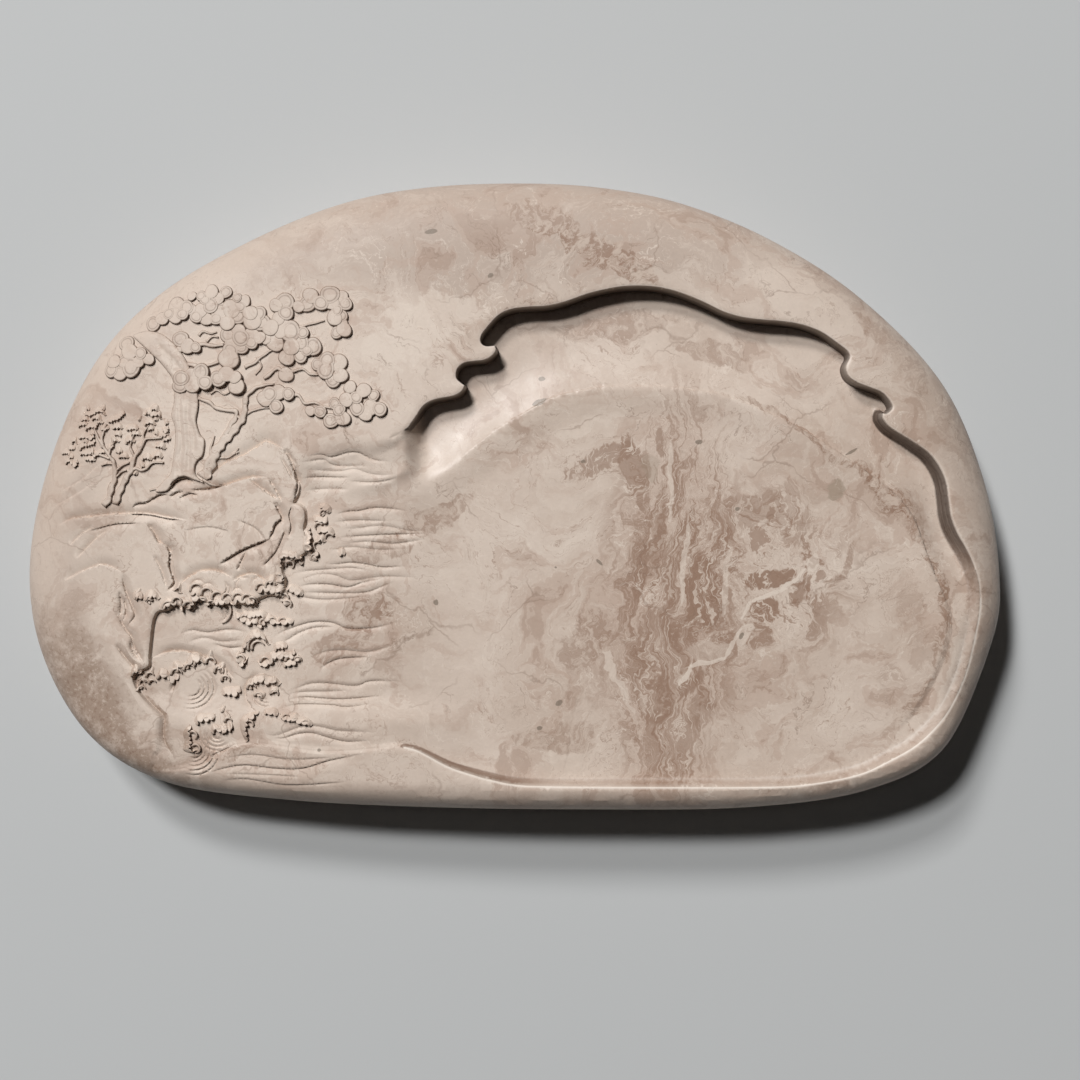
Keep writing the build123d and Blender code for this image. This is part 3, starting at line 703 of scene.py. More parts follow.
def build_surface():
    """The stone body, and one closed cap for each region of the carving."""
    xy, edges, inward = surface_points()
    flat, tris, solid, middle_of = triangulate(xy, edges)
    keep = inside(middle_of, outline) & solid
    tris, middle_of = tris[keep], middle_of[keep]
    top = np.column_stack([flat, height(flat)])
    corner = [top[tris[:, i]] for i in range(3)]
    face_normal = np.cross(corner[1] - corner[0], corner[2] - corner[0])
    normal = np.zeros_like(top)
    for i in range(3):
        np.add.at(normal, tris[:, i], face_normal)
    normal = unit_rows(normal, TINY)

    owner = np.full(len(tris), -1)
    for index, region in enumerate(REGIONS.values()):
        hit = inside(middle_of, smooth(region, 1.0, closed=True)) & (owner < 0)
        owner[hit] = index

    sunk = np.zeros(len(top), bool)
    caps = {}
    for index, name in enumerate(REGIONS):
        own = tris[owner == index]
        inner = np.zeros(len(top), bool)
        inner[np.unique(own)] = True
        inner[np.unique(tris[owner != index])] = False
        sunk |= inner
        # A triangle with no corner inside the region would be a cap of no thickness
        own = own[inner[own].any(axis=1)]
        used, flat_tris = np.unique(own, return_inverse=True)
        flat_tris = flat_tris.reshape(-1, 3)
        low_number = np.arange(len(used))
        inside_used = inner[used]
        low_number[inside_used] = len(used) + np.arange(inside_used.sum())
        low = top[used][inside_used] - (0, 0, CAP_THICK)
        verts = np.vstack([top[used], low])
        faces = np.vstack([flat_tris, low_number[flat_tris][:, ::-1]])
        piece = new_object(name + "_carved", verts, faces)
        low_normal = np.tile((0.0, 0.0, -1.0), (len(low), 1))
        cap_normals = np.vstack([normal[used], low_normal]).tolist()
        piece.data.normals_split_custom_set_from_vertices(cap_normals)
        caps[name] = piece

    body_top = top.copy()
    body_top[sunk, 2] -= PILLOW
    ring = len(outline)
    edge_z = height(outline)
    verts, faces = [body_top], [tris]
    first = len(body_top)
    edge_ids = np.array([((flat - p) ** 2).sum(1).argmin() for p in outline])
    previous = edge_ids
    # Rings down the upright side, then round the lower edge to the flat base
    levels = [(0, BASE_EDGE + (edge_z - BASE_EDGE) * part) for part in (0.55, 0.1)]
    for turn in np.radians((0, 14, 28, 42, 56, 70, 82, 90)).tolist():
        drop = np.full(ring, BASE_EDGE * (1 - math.sin(turn)))
        levels.append((BASE_EDGE * (1 - math.cos(turn)), drop))
    after = np.roll(np.arange(ring), -1)
    for inset, z in levels:
        verts.append(np.column_stack([outline + inward * inset, z]))
        ids = first + np.arange(ring)
        first += ring
        faces.append(np.column_stack([previous, previous[after], ids[after], ids]))
        previous = ids
    all_verts = np.vstack(verts)
    all_faces = [list(map(int, f)) for block in faces for f in block]
    all_faces.append([int(i) for i in previous])
    body = new_object("stone_body_carved", all_verts, all_faces)
    custom = np.zeros((len(all_verts), 3))
    custom[: len(top)] = normal
    polygon_normals = np.zeros((len(all_verts), 3))
    mesh = body.data
    for polygon in mesh.polygons:
        weighted = np.array(polygon.normal) * polygon.area
        for v in polygon.vertices:
            polygon_normals[v] += weighted
    polygon_normals = unit_rows(polygon_normals, TINY)
    custom[len(top) :] = polygon_normals[len(top) :]
    custom[edge_ids] = polygon_normals[edge_ids]
    mesh.normals_split_custom_set_from_vertices(custom.tolist())
    for name, share in zip(("arris_highlight", "wall_shade_and_stain"), highlight_and_shade(flat)):
        add_shares(body, name, np.concatenate([share, np.zeros(len(all_verts) - len(flat))]))
    return body, caps


body, caps = build_surface()
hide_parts("stone_body")
for name, cap in caps.items():
    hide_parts(name)
pieces = [body, *caps.values()]


# --------------------------------------------------------------- raised motifs
# Each motif is built from closed shapes whose roots stand a little inside the stone.
LIGHT_SIDE = np.array([-0.48, 0.88])
ROOT = 0.5
COIN_TILT = 0.09
COIN_SIDES = 24
OVERHANG = 1.0

# Sections of a coin from its middle out: share of the radius, height, and share of painted shade
COIN = [(0.50, 0.80, 0), (0.80, 0.785, 0), (0.875, 0.76, 0.1)]
RINGED_COIN = [
    (0.42, 0.82, 0), (0.54, 0.81, 0), (0.60, 0.78, 0.3), (0.655, 0.71, 0.7), (0.71, 0.755, 0.2),
    (0.86, 0.75, 0),
]
COIN_EDGE = [(0.965, 0.5, 1), (1.0, 0.28, 1)]
COIN_TOP = 0.81
RINGED_COIN_TOP = 0.83

# A curl of foam: sections along it, sides round it
CLAW_STEPS = 9
CLAW_SIDES = 8

# Section of a frill from its proud edge back into the ground: share of the reach, height
FRILL = [
    (0.0, 0.3), (0.01, 0.75), (0.03, 0.96), (0.07, 1.0), (0.3, 0.74), (0.62, 0.38), (1.0, -0.08),
]
FRILL_FRONT = 4


class Shapes:
    """Closed shapes collected into one piece that stands for one node."""

    def __init__(self):
        self.verts, self.faces, self.grime, self.count = [], [], [], 0

    def add(self, verts, faces, grime):
        self.verts.append(np.asarray(verts, float))
        self.grime.append(np.asarray(grime, float))
        self.faces += [[int(i) + self.count for i in face] for face in faces]
        self.count += len(verts)

    def finish(self, node, name=None):
        """Makes the piece that stands for the node, named after it unless a name is given."""
        piece = new_object((name or node) + "_carved", np.vstack(self.verts), self.faces)
        add_shares(piece, "grime", np.concatenate(self.grime))
        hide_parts(node)
        pieces.append(piece)

    def coin(self, x, y, radius, lift, ringed):
        """A flat domed disc, tilted so that its shadow side stands proud of its neighbour."""
        profile = RINGED_COIN + [(0.92, 0.69, 0.6)] if ringed else COIN + [(0.92, 0.70, 0.6)]
        profile = profile + COIN_EDGE
        sides = COIN_SIDES
        angle = np.linspace(0, 2 * math.pi, sides, endpoint=False)
        wobble = 1 + 0.05 * np.sin(2 * angle + x * 2.1) + 0.035 * np.sin(3 * angle + y * 1.7)
        unit = np.column_stack([np.cos(angle), np.sin(angle)]) * wobble[:, None]
        centre = np.array([x, y])
        ground = height(np.vstack([[centre], centre + unit * radius]))
        middle_z, rim_z = ground[0], ground[1:]
        crest = RINGED_COIN_TOP if ringed else COIN_TOP
        rings = [np.array([[x, y, middle_z + crest + lift]])]
        for share, level, _ in profile:
            tilt = -(unit * share) @ LIGHT_SIDE * COIN_TILT
            z = middle_z + (rim_z - middle_z) * share + level + lift + tilt
            rings.append(np.column_stack([centre + unit * radius * share, z]))
        rings.append(np.column_stack([centre + unit * radius * 0.97, rim_z - ROOT]))
        verts = np.vstack(rings)
        faces = [[0, 1 + i, 1 + (i + 1) % sides] for i in range(sides)]
        for k in range(len(rings) - 2):
            a, b = 1 + k * sides, 1 + (k + 1) * sides
            for i in range(sides):
                after = (i + 1) % sides
                faces.append([a + i, b + i, b + after, a + after])
        last = 1 + (len(rings) - 2) * sides
        faces.append([last + i for i in range(sides)][::-1])
        # Painted shade at the rim of the coin and in its ring
        under_shade = np.repeat([grime for _, _, grime in profile] + [1], sides)
        self.add(verts, faces, np.concatenate([[0], under_shade]))

    def cluster(self, discs, raised):
        """Coins that overlap like scales, a little higher towards the side in shadow."""
        reach = [0.48 * x - 0.88 * y for x, y, _ in discs]
        low, high = min(reach), max(reach) + 1e-6
        for number, (x, y, radius) in enumerate(discs):
            uneven = 0.2 * ((number * 7) % 5) / 4 - 0.12
            lift = 0.16 * (reach[number] - low) / (high - low) + uneven + raised
            self.coin(x, y, radius * 1.1, lift, ringed=number % 2 == 0)

    def plate(self, line, relief, soft=1.6, crisp=0.28, pitch=0.6, grooves=()):
        """A raised flat shape, soft on the lit side and crisp on the shadow side."""
        line = np.asarray(line, float)
        inner = grid(line.min(0), line.max(0), pitch)
        inner = inner[inside(inner, line)]
        if len(inner):
            inner = inner[nearest(inner, line, closed=True)[0] > 0.3 * pitch]
        x, y = line.T
        if np.sum(x * np.roll(y, -1) - np.roll(x, -1) * y) < 0:
            line = line[::-1]
        after = unit_rows(np.roll(line, -1, axis=0) - np.roll(line, 1, axis=0))
        outward = np.column_stack([after[:, 1], -after[:, 0]])
        rings = [line, line - outward * 0.12, line - outward * 0.35]
        rings[1:] = [r[inside(r, line)] for r in rings[1:]]
        xy = np.vstack([*rings, inner])
        count = len(line)
        edges = [(i, (i + 1) % count) for i in range(count)]
        flat, tris, solid, middle_of = triangulate(xy, edges)
        tris = tris[inside(middle_of, line) & solid]
        used, local = np.unique(tris, return_inverse=True)
        tris = local.reshape(-1, 3)
        flat = flat[used]
        gap = nearest(flat, line, closed=True)[0]
        index = np.array([((line - p) ** 2).sum(1).argmin() for p in flat])
        facing = (outward[index] @ LIGHT_SIDE + 1) / 2
        width = crisp + (soft - crisp) * ease(facing * 1.4 - 0.3)
        round_edge = np.sqrt(np.clip(1 - (1 - np.clip(gap / width, 0, 1)) ** 2, 0, 1))
        z = height(flat) + relief * (0.35 + 0.65 * round_edge)
        for groove, depth, reach in grooves:
            away = nearest(flat, smooth(groove, 0.5))[0]
            z -= depth * np.clip(1 - away / reach, 0, 1) ** 1.5
        top = np.column_stack([flat, z])
        low = np.column_stack([flat, height(flat) - ROOT])
        half = np.sort(np.vstack([tris[:, [0, 1]], tris[:, [1, 2]], tris[:, [2, 0]]]), axis=1)
        pairs, times = np.unique(half, axis=0, return_counts=True)
        border = {tuple(p) for p in pairs[times == 1].tolist()}
        shift = len(flat)
        faces = [list(t) for t in tris] + [[t[0] + shift, t[2] + shift, t[1] + shift] for t in tris]
        for t in tris.tolist():
            for i, j in ((0, 1), (1, 2), (2, 0)):
                if tuple(sorted((t[i], t[j]))) in border:
                    faces.append([t[j], t[i], t[i] + shift, t[j] + shift])
        # Painted shade in a thin band along the outline
        outline_shade = 0.9 * np.clip(1 - gap / 0.14, 0, 1)
        self.add(np.vstack([top, low]), faces, np.concatenate([outline_shade, np.ones(len(low))]))

    def branch(self, points, start, end, relief, wander=0.12, soft=0.6, **extra):
        """A raised strip along a line, of tapering width and slightly uneven edges."""
        line = smooth(points, 0.5)
        share = np.linspace(0, 1, len(line))
        half = (start + (end - start) * share) / 2
        number = np.arange(len(line))
        left = half * (1 + wander * np.sin(number * 0.55 + line[:, 0]))
        right = half * (1 + wander * np.sin(number * 0.7 + line[:, 1]))
        along = unit_rows(np.gradient(line, axis=0))
        normal = np.column_stack([-along[:, 1], along[:, 0]])
        edge = np.vstack([line + normal * left[:, None], (line - normal * right[:, None])[::-1]])
        self.plate(edge, relief, soft=soft, pitch=0.55, **extra)

    def claw(self, x, y, radius, start, end, thick, rise):
        """A curl of foam: a tapering round bar bent along an arc."""
        steps, sides = CLAW_STEPS, CLAW_SIDES
        turns = np.radians(np.linspace(start, end, steps + 1))
        outward = np.column_stack([np.cos(turns), np.sin(turns)])
        centres = np.array([x, y]) + radius * outward
        ground = height(centres)
        rings = []
        for k in range(steps + 1):
            share = k / steps
            size = thick * (1 - 0.7 * share)
            middle_z = ground[k] + rise * (0.55 + 0.45 * math.sin(share * 3.0)) - 0.15
            for s in range(sides):
                phi = 2 * math.pi * s / sides
                xy = centres[k] + outward[k] * size * math.cos(phi)
                rings.append([xy[0], xy[1], middle_z + size * 1.2 * math.sin(phi)])
        faces = []
        flip = end < start
        for k in range(steps):
            for s in range(sides):
                a, b = k * sides + s, k * sides + (s + 1) % sides
                face = [a, b, b + sides, a + sides]
                faces.append(face if flip else face[::-1])
        first, last = list(range(sides)), [steps * sides + s for s in range(sides)]
        faces.append(first[::-1] if flip else first)
        faces.append(last if flip else last[::-1])
        # Painted shade on the underside of the bar
        round_bar = 2 * math.pi * np.arange(sides) / sides
        under_shade = np.clip(0.15 - np.sin(round_bar) - 0.5 * np.cos(round_bar), 0, 1)
        self.add(rings, faces, np.tile(under_shade, steps + 1))

    def frill(self, points, reach, relief, tooth, width):
        """A ledge with a scalloped proud edge on its shadow side; its back runs into the ground."""
        line = smooth(points, 0.15)
        along = unit_rows(np.gradient(line, axis=0))
        down = np.column_stack([along[:, 1], -along[:, 0]])
        if (down @ LIGHT_SIDE).mean() > 0:
            down = -down
        behind = down.mean(axis=0)
        behind = -behind / max(np.linalg.norm(behind), 1e-9)
        run = np.concatenate([[0], np.cumsum(np.linalg.norm(np.diff(line, axis=0), axis=1))])
        knots, sizes = [0.0], []
        while knots[-1] < run[-1]:
            knots.append(knots[-1] + width * rng.uniform(0.7, 1.35))
            sizes.append(rng.uniform(0.55, 1.25))
        knots = np.array(knots) * (run[-1] / knots[-1])
        which = np.clip(np.searchsorted(knots, run, side="right") - 1, 0, len(sizes) - 1)
        within = (run - knots[which]) / np.maximum(knots[which + 1] - knots[which], 1e-6) * 2 - 1
        lobe = np.sqrt(np.clip(1 - within ** 2, 0, 1)) * np.array(sizes)[which]
        ends = ease(np.minimum(run, run[-1] - run) / (0.8 * width))
        arch = np.sqrt(np.clip(1 - (2 * run / run[-1] - 1) ** 2, 0, 1))
        edge = line + down * (tooth * (lobe - 0.5))[:, None]
        rows = []
        for share, level in FRILL:
            back = reach * share * (0.3 + 0.7 * arch)
            xy = line + (edge - line) * (1 - share) ** 2 + behind * back[:, None]
            rows.append((xy, relief * level * (0.8 + 0.2 * lobe) * (0.3 + 0.7 * ends)))
        rows += [(rows[-1][0], -ROOT), (edge, -ROOT)]
        ground = height(np.vstack([xy for xy, _ in rows])).reshape(len(rows), -1)
        overhang = height(line + behind * OVERHANG) - 0.25
        ground[:FRILL_FRONT] = np.maximum(ground[:FRILL_FRONT], overhang)
        rows = [np.column_stack([xy, z + rise]) for (xy, rise), z in zip(rows, ground)]
        count, tall = len(line), len(rows)
        faces = []
        for k in range(tall):
            a, b = k * count, (k + 1) % tall * count
            faces += [[a + i, a + i + 1, b + i + 1, b + i] for i in range(count - 1)]
        faces.append([k * count for k in range(tall)])
        faces.append([k * count + count - 1 for k in range(tall)][::-1])
        if along[0, 0] * down[0, 1] - along[0, 1] * down[0, 0] > 0:
            faces = [face[::-1] for face in faces]
        # Painted shade along the proud edge of the ledge and the row behind it
        under_shade = np.zeros(count * tall)
        under_shade[:count] = 1
        under_shade[count : 2 * count] = 0.5
        self.add(np.vstack(rows), faces, under_shade)


# Pine: foliage clusters, each disc with its place and radius
PINE = {
    "pine_leaves_left_sprig": [
        (-94, 45, 1.9), (-91.6, 46.3, 1.7), (-89.8, 47.6, 1.5), (-88, 47, 2), (-86, 47.4, 1.6),
        (-87.7, 49.5, 2.4), (-84.9, 49.2, 1.8),
    ],
    "pine_leaves_low_left": [
        (-101.2, 40, 2), (-100.2, 37.8, 2.2), (-97, 37.2, 1.6), (-94.8, 35.6, 1.5),
        (-99.5, 33.6, 2.5), (-102.6, 32.8, 2.4), (-105, 33, 1.9), (-104.4, 35.2, 1.8),
        (-101.6, 34.8, 1.9), (-97.6, 34.8, 1.5),
    ],
    "pine_leaves_crown": [
        (-75.8, 47.6, 2.6), (-73, 48.5, 2.4), (-78.5, 49.5, 2), (-81, 48.3, 1.9),
        (-82.3, 46.6, 1.6), (-79.6, 46, 1.7), (-77, 46, 1.6), (-74, 44.8, 1.9), (-71.3, 46.5, 2),
        (-78.4, 53.2, 1.8), (-74.6, 53, 1.6), (-83.7, 52.2, 1.2), (-81.2, 52.2, 1.3),
        (-76.6, 51.4, 1.6), (-71.5, 51.4, 1.2), (-69.5, 50.6, 1.5), (-70.8, 49, 1.6),
        (-68, 47.4, 1.9), (-65.8, 47.2, 1.9), (-67.5, 45.3, 2.3), (-65.2, 45, 2.2),
        (-62.7, 43.6, 2.1), (-80, 51, 1.4), (-83.8, 48.6, 1.4),
    ],
    "pine_leaves_centre": [
        (-73.8, 41.8, 2), (-71, 42.9, 1.7), (-70.5, 41, 2.2), (-67.6, 41.6, 2), (-67.8, 39.7, 1.7),
        (-72.6, 39.8, 2.1), (-73.2, 37.6, 2), (-73.6, 35.6, 2.6), (-70.4, 38.6, 1.8),
        (-65.6, 41, 1.6),
    ],
    "pine_leaves_left_lobe": [(-86.4, 40.8, 2), (-84.4, 38.9, 1.9), (-82.4, 38.6, 1.4)],
    "pine_leaves_front": [
        (-86.3, 28.6, 1.9), (-83.1, 28.6, 1.9), (-79.8, 29.4, 1.9), (-71.5, 28.3, 2),
        (-86, 30.5, 2), (-83.5, 31.2, 1.9), (-76.3, 30.3, 2), (-71.9, 30.7, 1.6), (-81, 32, 2.2),
        (-74.2, 31.5, 2.1),
    ],
    "pine_leaves_upper_right": [
        (-59, 50.3, 2.3), (-61.3, 49.4, 1.7), (-58.7, 47.4, 1.9), (-60.7, 45.9, 1.7),
        (-57.5, 42.6, 2.6), (-61.5, 39.6, 2.2), (-54.8, 39.6, 2.2), (-57.2, 38.6, 2.2),
        (-51.6, 38.6, 2.2), (-58.5, 35.8, 2), (-55, 36.4, 1.9), (-60, 42.4, 1.7),
        (-54.2, 42.2, 1.5), (-59, 44.2, 1.5), (-53.2, 37.6, 1.5), (-64, 40.8, 1.5),
    ],
    "pine_leaves_top_right": [
        (-53.2, 49.6, 2), (-46.8, 50.1, 2), (-49.6, 49.9, 1.9), (-52.3, 51.8, 2), (-47.2, 52, 2.4),
        (-44.4, 51.4, 1.8), (-43.3, 49.8, 1.8), (-46, 46.1, 2), (-44.3, 46.5, 1.6),
        (-43.6, 43, 1.9), (-45.5, 42.2, 1.5), (-55.4, 49, 1.5), (-45.4, 48, 1.5), (-44, 44.6, 1.3),
    ],
    "pine_leaves_right": [
        (-46.5, 29.9, 1.9), (-44.5, 31.1, 1.9), (-48.3, 32.6, 2.3), (-45, 34.4, 2.2),
        (-48, 35, 2.1), (-58.7, 31.4, 1.9), (-50.4, 34, 1.6),
    ],
    "pine_leaves_lower_middle": [
        (-61.3, 23.2, 1.8), (-64.2, 25.2, 2), (-58.1, 26.4, 1.6), (-60.6, 26.8, 1.9),
        (-63, 26.3, 2),
    ],
    "pine_leaves_far_right": [
        (-47, 19.4, 1.9), (-43.9, 20, 1.9), (-49.8, 21.8, 1.6), (-38, 21, 1.7), (-34.3, 22.4, 1.8),
        (-36.6, 22.8, 2), (-40.2, 22.6, 1.9), (-43, 24.8, 1.8), (-46, 23.8, 1.5),
        (-38.5, 27.2, 1.9), (-35.9, 25.9, 1.5), (-42, 28.1, 1.6), (-40.4, 25.4, 1.6),
        (-52.4, 22, 1.3), (-44.8, 22.2, 1.6),
    ],
}
for name, discs in PINE.items():
    shapes = Shapes()
    shapes.cluster(discs, 0.5 if name == "pine_leaves_front" else 0.0)
    shapes.finish(name)

# Pine: trunk, second trunk and branches
TRUNK = [
    (-93, 1.2), (-90.6, 4.2), (-89, 6), (-88.3, 10), (-87.8, 14), (-87.9, 18), (-88.8, 21),
    (-88.1, 24.6), (-88.4, 30), (-90, 32.6), (-92, 35), (-95.4, 38.2), (-98, 40.5), (-99.4, 42.2),
    (-95.4, 43.2), (-91.4, 42.2), (-88.5, 40), (-87, 38.4), (-85.5, 36.3), (-84, 33.6), (-82.4, 29),
    (-81.6, 25), (-81.8, 22), (-82.2, 19.5), (-81.2, 16), (-80, 14.5), (-80.4, 10.6), (-81.9, 9),
    (-82.6, 7.2), (-82.2, 5.2), (-80.2, 3.4), (-83, 4.2), (-85, 5), (-87, 4.6), (-88.4, 3.2),
    (-90, 1.2),
]
BARK = [
    ([(-86.4, 6), (-86, 14), (-86.6, 22), (-86.2, 30)], 0.38, 0.6),
    ([(-84.2, 7), (-84, 14), (-84.4, 21), (-83.8, 28)], 0.36, 0.6),
    ([(-85.2, 24), (-85, 30), (-88, 35), (-92, 39)], 0.36, 0.6),
    ([(-87.4, 6), (-87, 10), (-85.6, 13)], 0.34, 0.5),
    ([(-82.8, 12), (-82.8, 16), (-83.6, 19)], 0.4, 0.6),
    ([(-90.4, 36.4), (-88, 33.4), (-86.4, 29.6)], 0.25, 0.5),
    (
        [(-93.2, 39.8), (-92.5, 40), (-92, 39.4), (-92.4, 38.7), (-93.1, 38.9), (-93.3, 39.6)],
        0.3, 0.28,
    ),
]
shapes = Shapes()
shapes.plate(smooth(TRUNK, 0.6, closed=True), 0.85, soft=2.2, grooves=BARK)
shapes.branch([(-87.4, 5), (-91, 2.6), (-94.6, 1.4)], 1.4, 0.4, 0.4)
shapes.branch([(-80.6, 4.4), (-78, 2.8), (-75.4, 2.6)], 1.2, 0.3, 0.4)
shapes.finish("pine_trunk")
shapes = Shapes()
shapes.branch(
    [
        (-80.6, 4.6), (-79, 7), (-77.8, 10), (-76.4, 12.4), (-74.6, 14.6), (-72.8, 16.4),
        (-71, 18.8), (-69.8, 20.6), (-69.4, 24),
    ],
    3.2, 1.5, 0.8, 0.2, grooves=[([(-79, 7.4), (-76.8, 12), (-73, 16.6), (-70.6, 20)], 0.2, 0.5)],
)
shapes.branch([
    (-69.4, 23.4), (-69, 26), (-67, 27.8), (-64.8, 28.6), (-61.8, 29),
], 1.5, 0.6, 0.75, 0.2)
shapes.branch([
    (-74.6, 15.2), (-73.4, 18), (-72, 20), (-71.8, 21.8), (-74, 22.2), (-77, 22.8), (-78.6, 24.2),
    (-81.8, 25.6),
], 1.5, 0.9, 0.75, 0.25)
shapes.branch([(-72, 21.4), (-70.4, 19.6)], 0.9, 0.6, 0.7)
shapes.branch([(-78.6, 9.4), (-78.4, 12.4), (-77.4, 15.6)], 0.9, 0.3, 0.6, 0.2)
shapes.branch([(-76.6, 9.8), (-74.2, 9.9), (-72.2, 11), (-71.2, 12.4)], 0.6, 0.3, 0.5, 0.2)
shapes.frill([(-73, 10.4), (-71, 11.4)], 0.9, 0.5, 0.3, 0.6)
shapes.finish("pine_second_trunk")
# Pine branches: points, width at the start and the end, relief
BRANCHES = {
    "pine_upper_branches": [
        ([(-87.4, 38), (-84, 38.4), (-80.4, 39.4), (-77.6, 39), (-75, 39.2)], 1.5, 0.8, 0.75),
        ([(-84.8, 34.4), (-80.6, 33.6), (-77, 34.6), (-74.6, 35.4)], 1.3, 0.6, 0.7),
        ([(-81.6, 41.6), (-80.4, 42.8), (-78.4, 42.2), (-76.8, 42.6)], 0.8, 0.4, 0.6),
        ([(-79.6, 40), (-78, 41.4), (-76.4, 41.2)], 0.7, 0.4, 0.6),
        (
            [
                (-64.6, 30.4), (-62.8, 31.6), (-61, 33.1), (-59.4, 32.2), (-57, 32.3),
                (-54.3, 32.8), (-52.5, 31.6), (-50, 31.4), (-48.4, 30.4),
            ],
            1.0, 0.6, 0.7,
        ),
        ([(-69.6, 33.4), (-67.2, 34.4), (-64.4, 36.6), (-62, 38)], 1.0, 0.6, 0.6),
        ([(-66.4, 36), (-65.2, 33.6), (-66.8, 31.4)], 0.7, 0.4, 0.5),
        ([(-56, 43.6), (-52, 44.6), (-48.6, 45.4)], 0.9, 0.4, 0.6),
    ],
    "pine_lower_branches": [
        (
            [(-57.4, 26.2), (-55.4, 26), (-53.9, 23.9), (-51.5, 24.2), (-48.5, 23), (-45.6, 22.8)],
            1.0, 0.6, 0.7,
        ),
        ([(-69, 21.4), (-66, 22.6), (-63, 22.8)], 0.9, 0.5, 0.5),
        ([(-78.6, 26.6), (-76.8, 27.4), (-75, 26.4), (-73.4, 27)], 0.7, 0.4, 0.6),
    ],
}
for name, branches in BRANCHES.items():
    shapes = Shapes()
    for points, start, end, relief in branches:
        shapes.branch(points, start, end, relief, 0.2)
    shapes.finish(name)

# Small tree: trunks, twigs and ragged ledges of leaves
shapes = Shapes()
for points, start, end in [
    (
        [
            (-103.6, -2.2), (-103, -0.3), (-101.8, 2.5), (-100.5, 5), (-99.2, 7), (-98.9, 9),
            (-98.2, 10.6), (-96.6, 12.8), (-95.8, 14.6), (-93.6, 15), (-91, 15.2),
        ],
        1.9, 0.6,
    ),
    (
        [
            (-106.8, -2.6), (-105.5, -1), (-104.6, 2), (-103.9, 4), (-103.6, 6.8), (-104.2, 9),
            (-105.6, 11), (-107.1, 13.5), (-108.6, 16), (-109.4, 18),
        ],
        1.8, 0.6,
    ),
    ([(-107.1, 13.4), (-107.2, 15), (-106.7, 17), (-106, 18.8)], 1.0, 0.5),
    (
        [
            (-99.4, 6.8), (-98, 7.2), (-96.8, 6.6), (-95.5, 7.1), (-94, 8.4), (-92.5, 8.8),
            (-90.8, 8.6),
        ],
        1.0, 0.5,
    ),
    ([(-103.6, 6.6), (-101.5, 8), (-99.8, 8.8)], 0.8, 0.4),
    ([(-103.8, 4.6), (-102, 6.2), (-100.6, 6.7)], 0.7, 0.4),
    ([(-107.4, 8), (-105.6, 8.4), (-104, 8.4)], 0.4, 0.7),
    ([(-105.2, 10.6), (-104.8, 12.8), (-103.4, 14.6)], 0.7, 0.4),
    ([(-105, 9.8), (-108, 10.8), (-111.4, 11)], 0.8, 0.4),
    ([(-98.4, 10.2), (-99.6, 12.6), (-99, 15), (-98, 17)], 0.8, 0.4),
    ([(-95.9, 14.2), (-96, 16.4), (-94.6, 18.4)], 0.7, 0.4),
    ([(-104.8, -1), (-105.6, 1.6), (-104.8, 3.6)], 0.5, 0.3),
]:
    shapes.branch(points, start, end, 0.8, 0.2)
shapes.finish("small_tree_trunks")
# Reach, relief, tooth and width of a ledge of leaves
LEAF_LEDGE = (1.6, 0.95, 0.65, 0.95)
LEFT_LEDGES = [
    [(-112.4, 21.2), (-110, 21.2), (-109, 21.9), (-107.5, 21.9), (-106.2, 20.9)],
    [(-105.6, 19), (-104, 19.7), (-102.5, 20), (-101.5, 21), (-101, 21.9)],
    [(-114.2, 18), (-113, 18.6), (-111.3, 18.8)],
    [(-112.2, 17.3), (-110.5, 17.9), (-109, 17.9), (-108, 19.2), (-106.8, 19)],
    [(-114, 15), (-112, 15.3), (-109.8, 15), (-109.3, 16.6)],
    [(-113.7, 12), (-112, 13), (-110, 13.3), (-108.8, 14.4)],
    [(-113.5, 11), (-111, 11), (-109.5, 11.3), (-109, 10.3), (-107.5, 11), (-106.2, 11.6)],
    [(-119, 11), (-117, 11.3), (-115.8, 10.5)],
    [(-117.7, 8.5), (-116, 9), (-115, 8), (-114.2, 7.8), (-113.9, 9.2)],
    [(-105.5, 12), (-104, 12.8), (-104, 14.5), (-102.4, 14)], [(-104, 15.8), (-101.8, 15.9)],
    [(-103, 10), (-101, 10), (-100, 9.8)], [(-116, 13.6), (-115, 14.4), (-114.2, 13.4)],
    [(-107.6, 22.8), (-106.4, 22.6)], [(-112, 22.6), (-110.8, 22.9)],
    [(-110.4, 20), (-108.6, 20.3), (-107.4, 19.6)], [(-113.6, 19.8), (-112, 20), (-111, 19.6)],
    [(-110.6, 16.4), (-109.6, 15.7)], [(-112.6, 14), (-110.8, 14.2)],
    [(-117, 12.4), (-115.6, 12.2), (-114.6, 12.4)], [(-116.6, 10), (-115, 10.2)],
    [(-112, 9.6), (-110.2, 9.4), (-108.8, 9.2)], [(-107.6, 12.6), (-106.6, 13.2)],
    [(-104.6, 17.4), (-103, 17.8), (-101.6, 17.4)], [(-103.6, 11.2), (-101.6, 11.6)],
    [(-107.8, 17.6), (-106.6, 17.2), (-105.2, 17.4)],
]
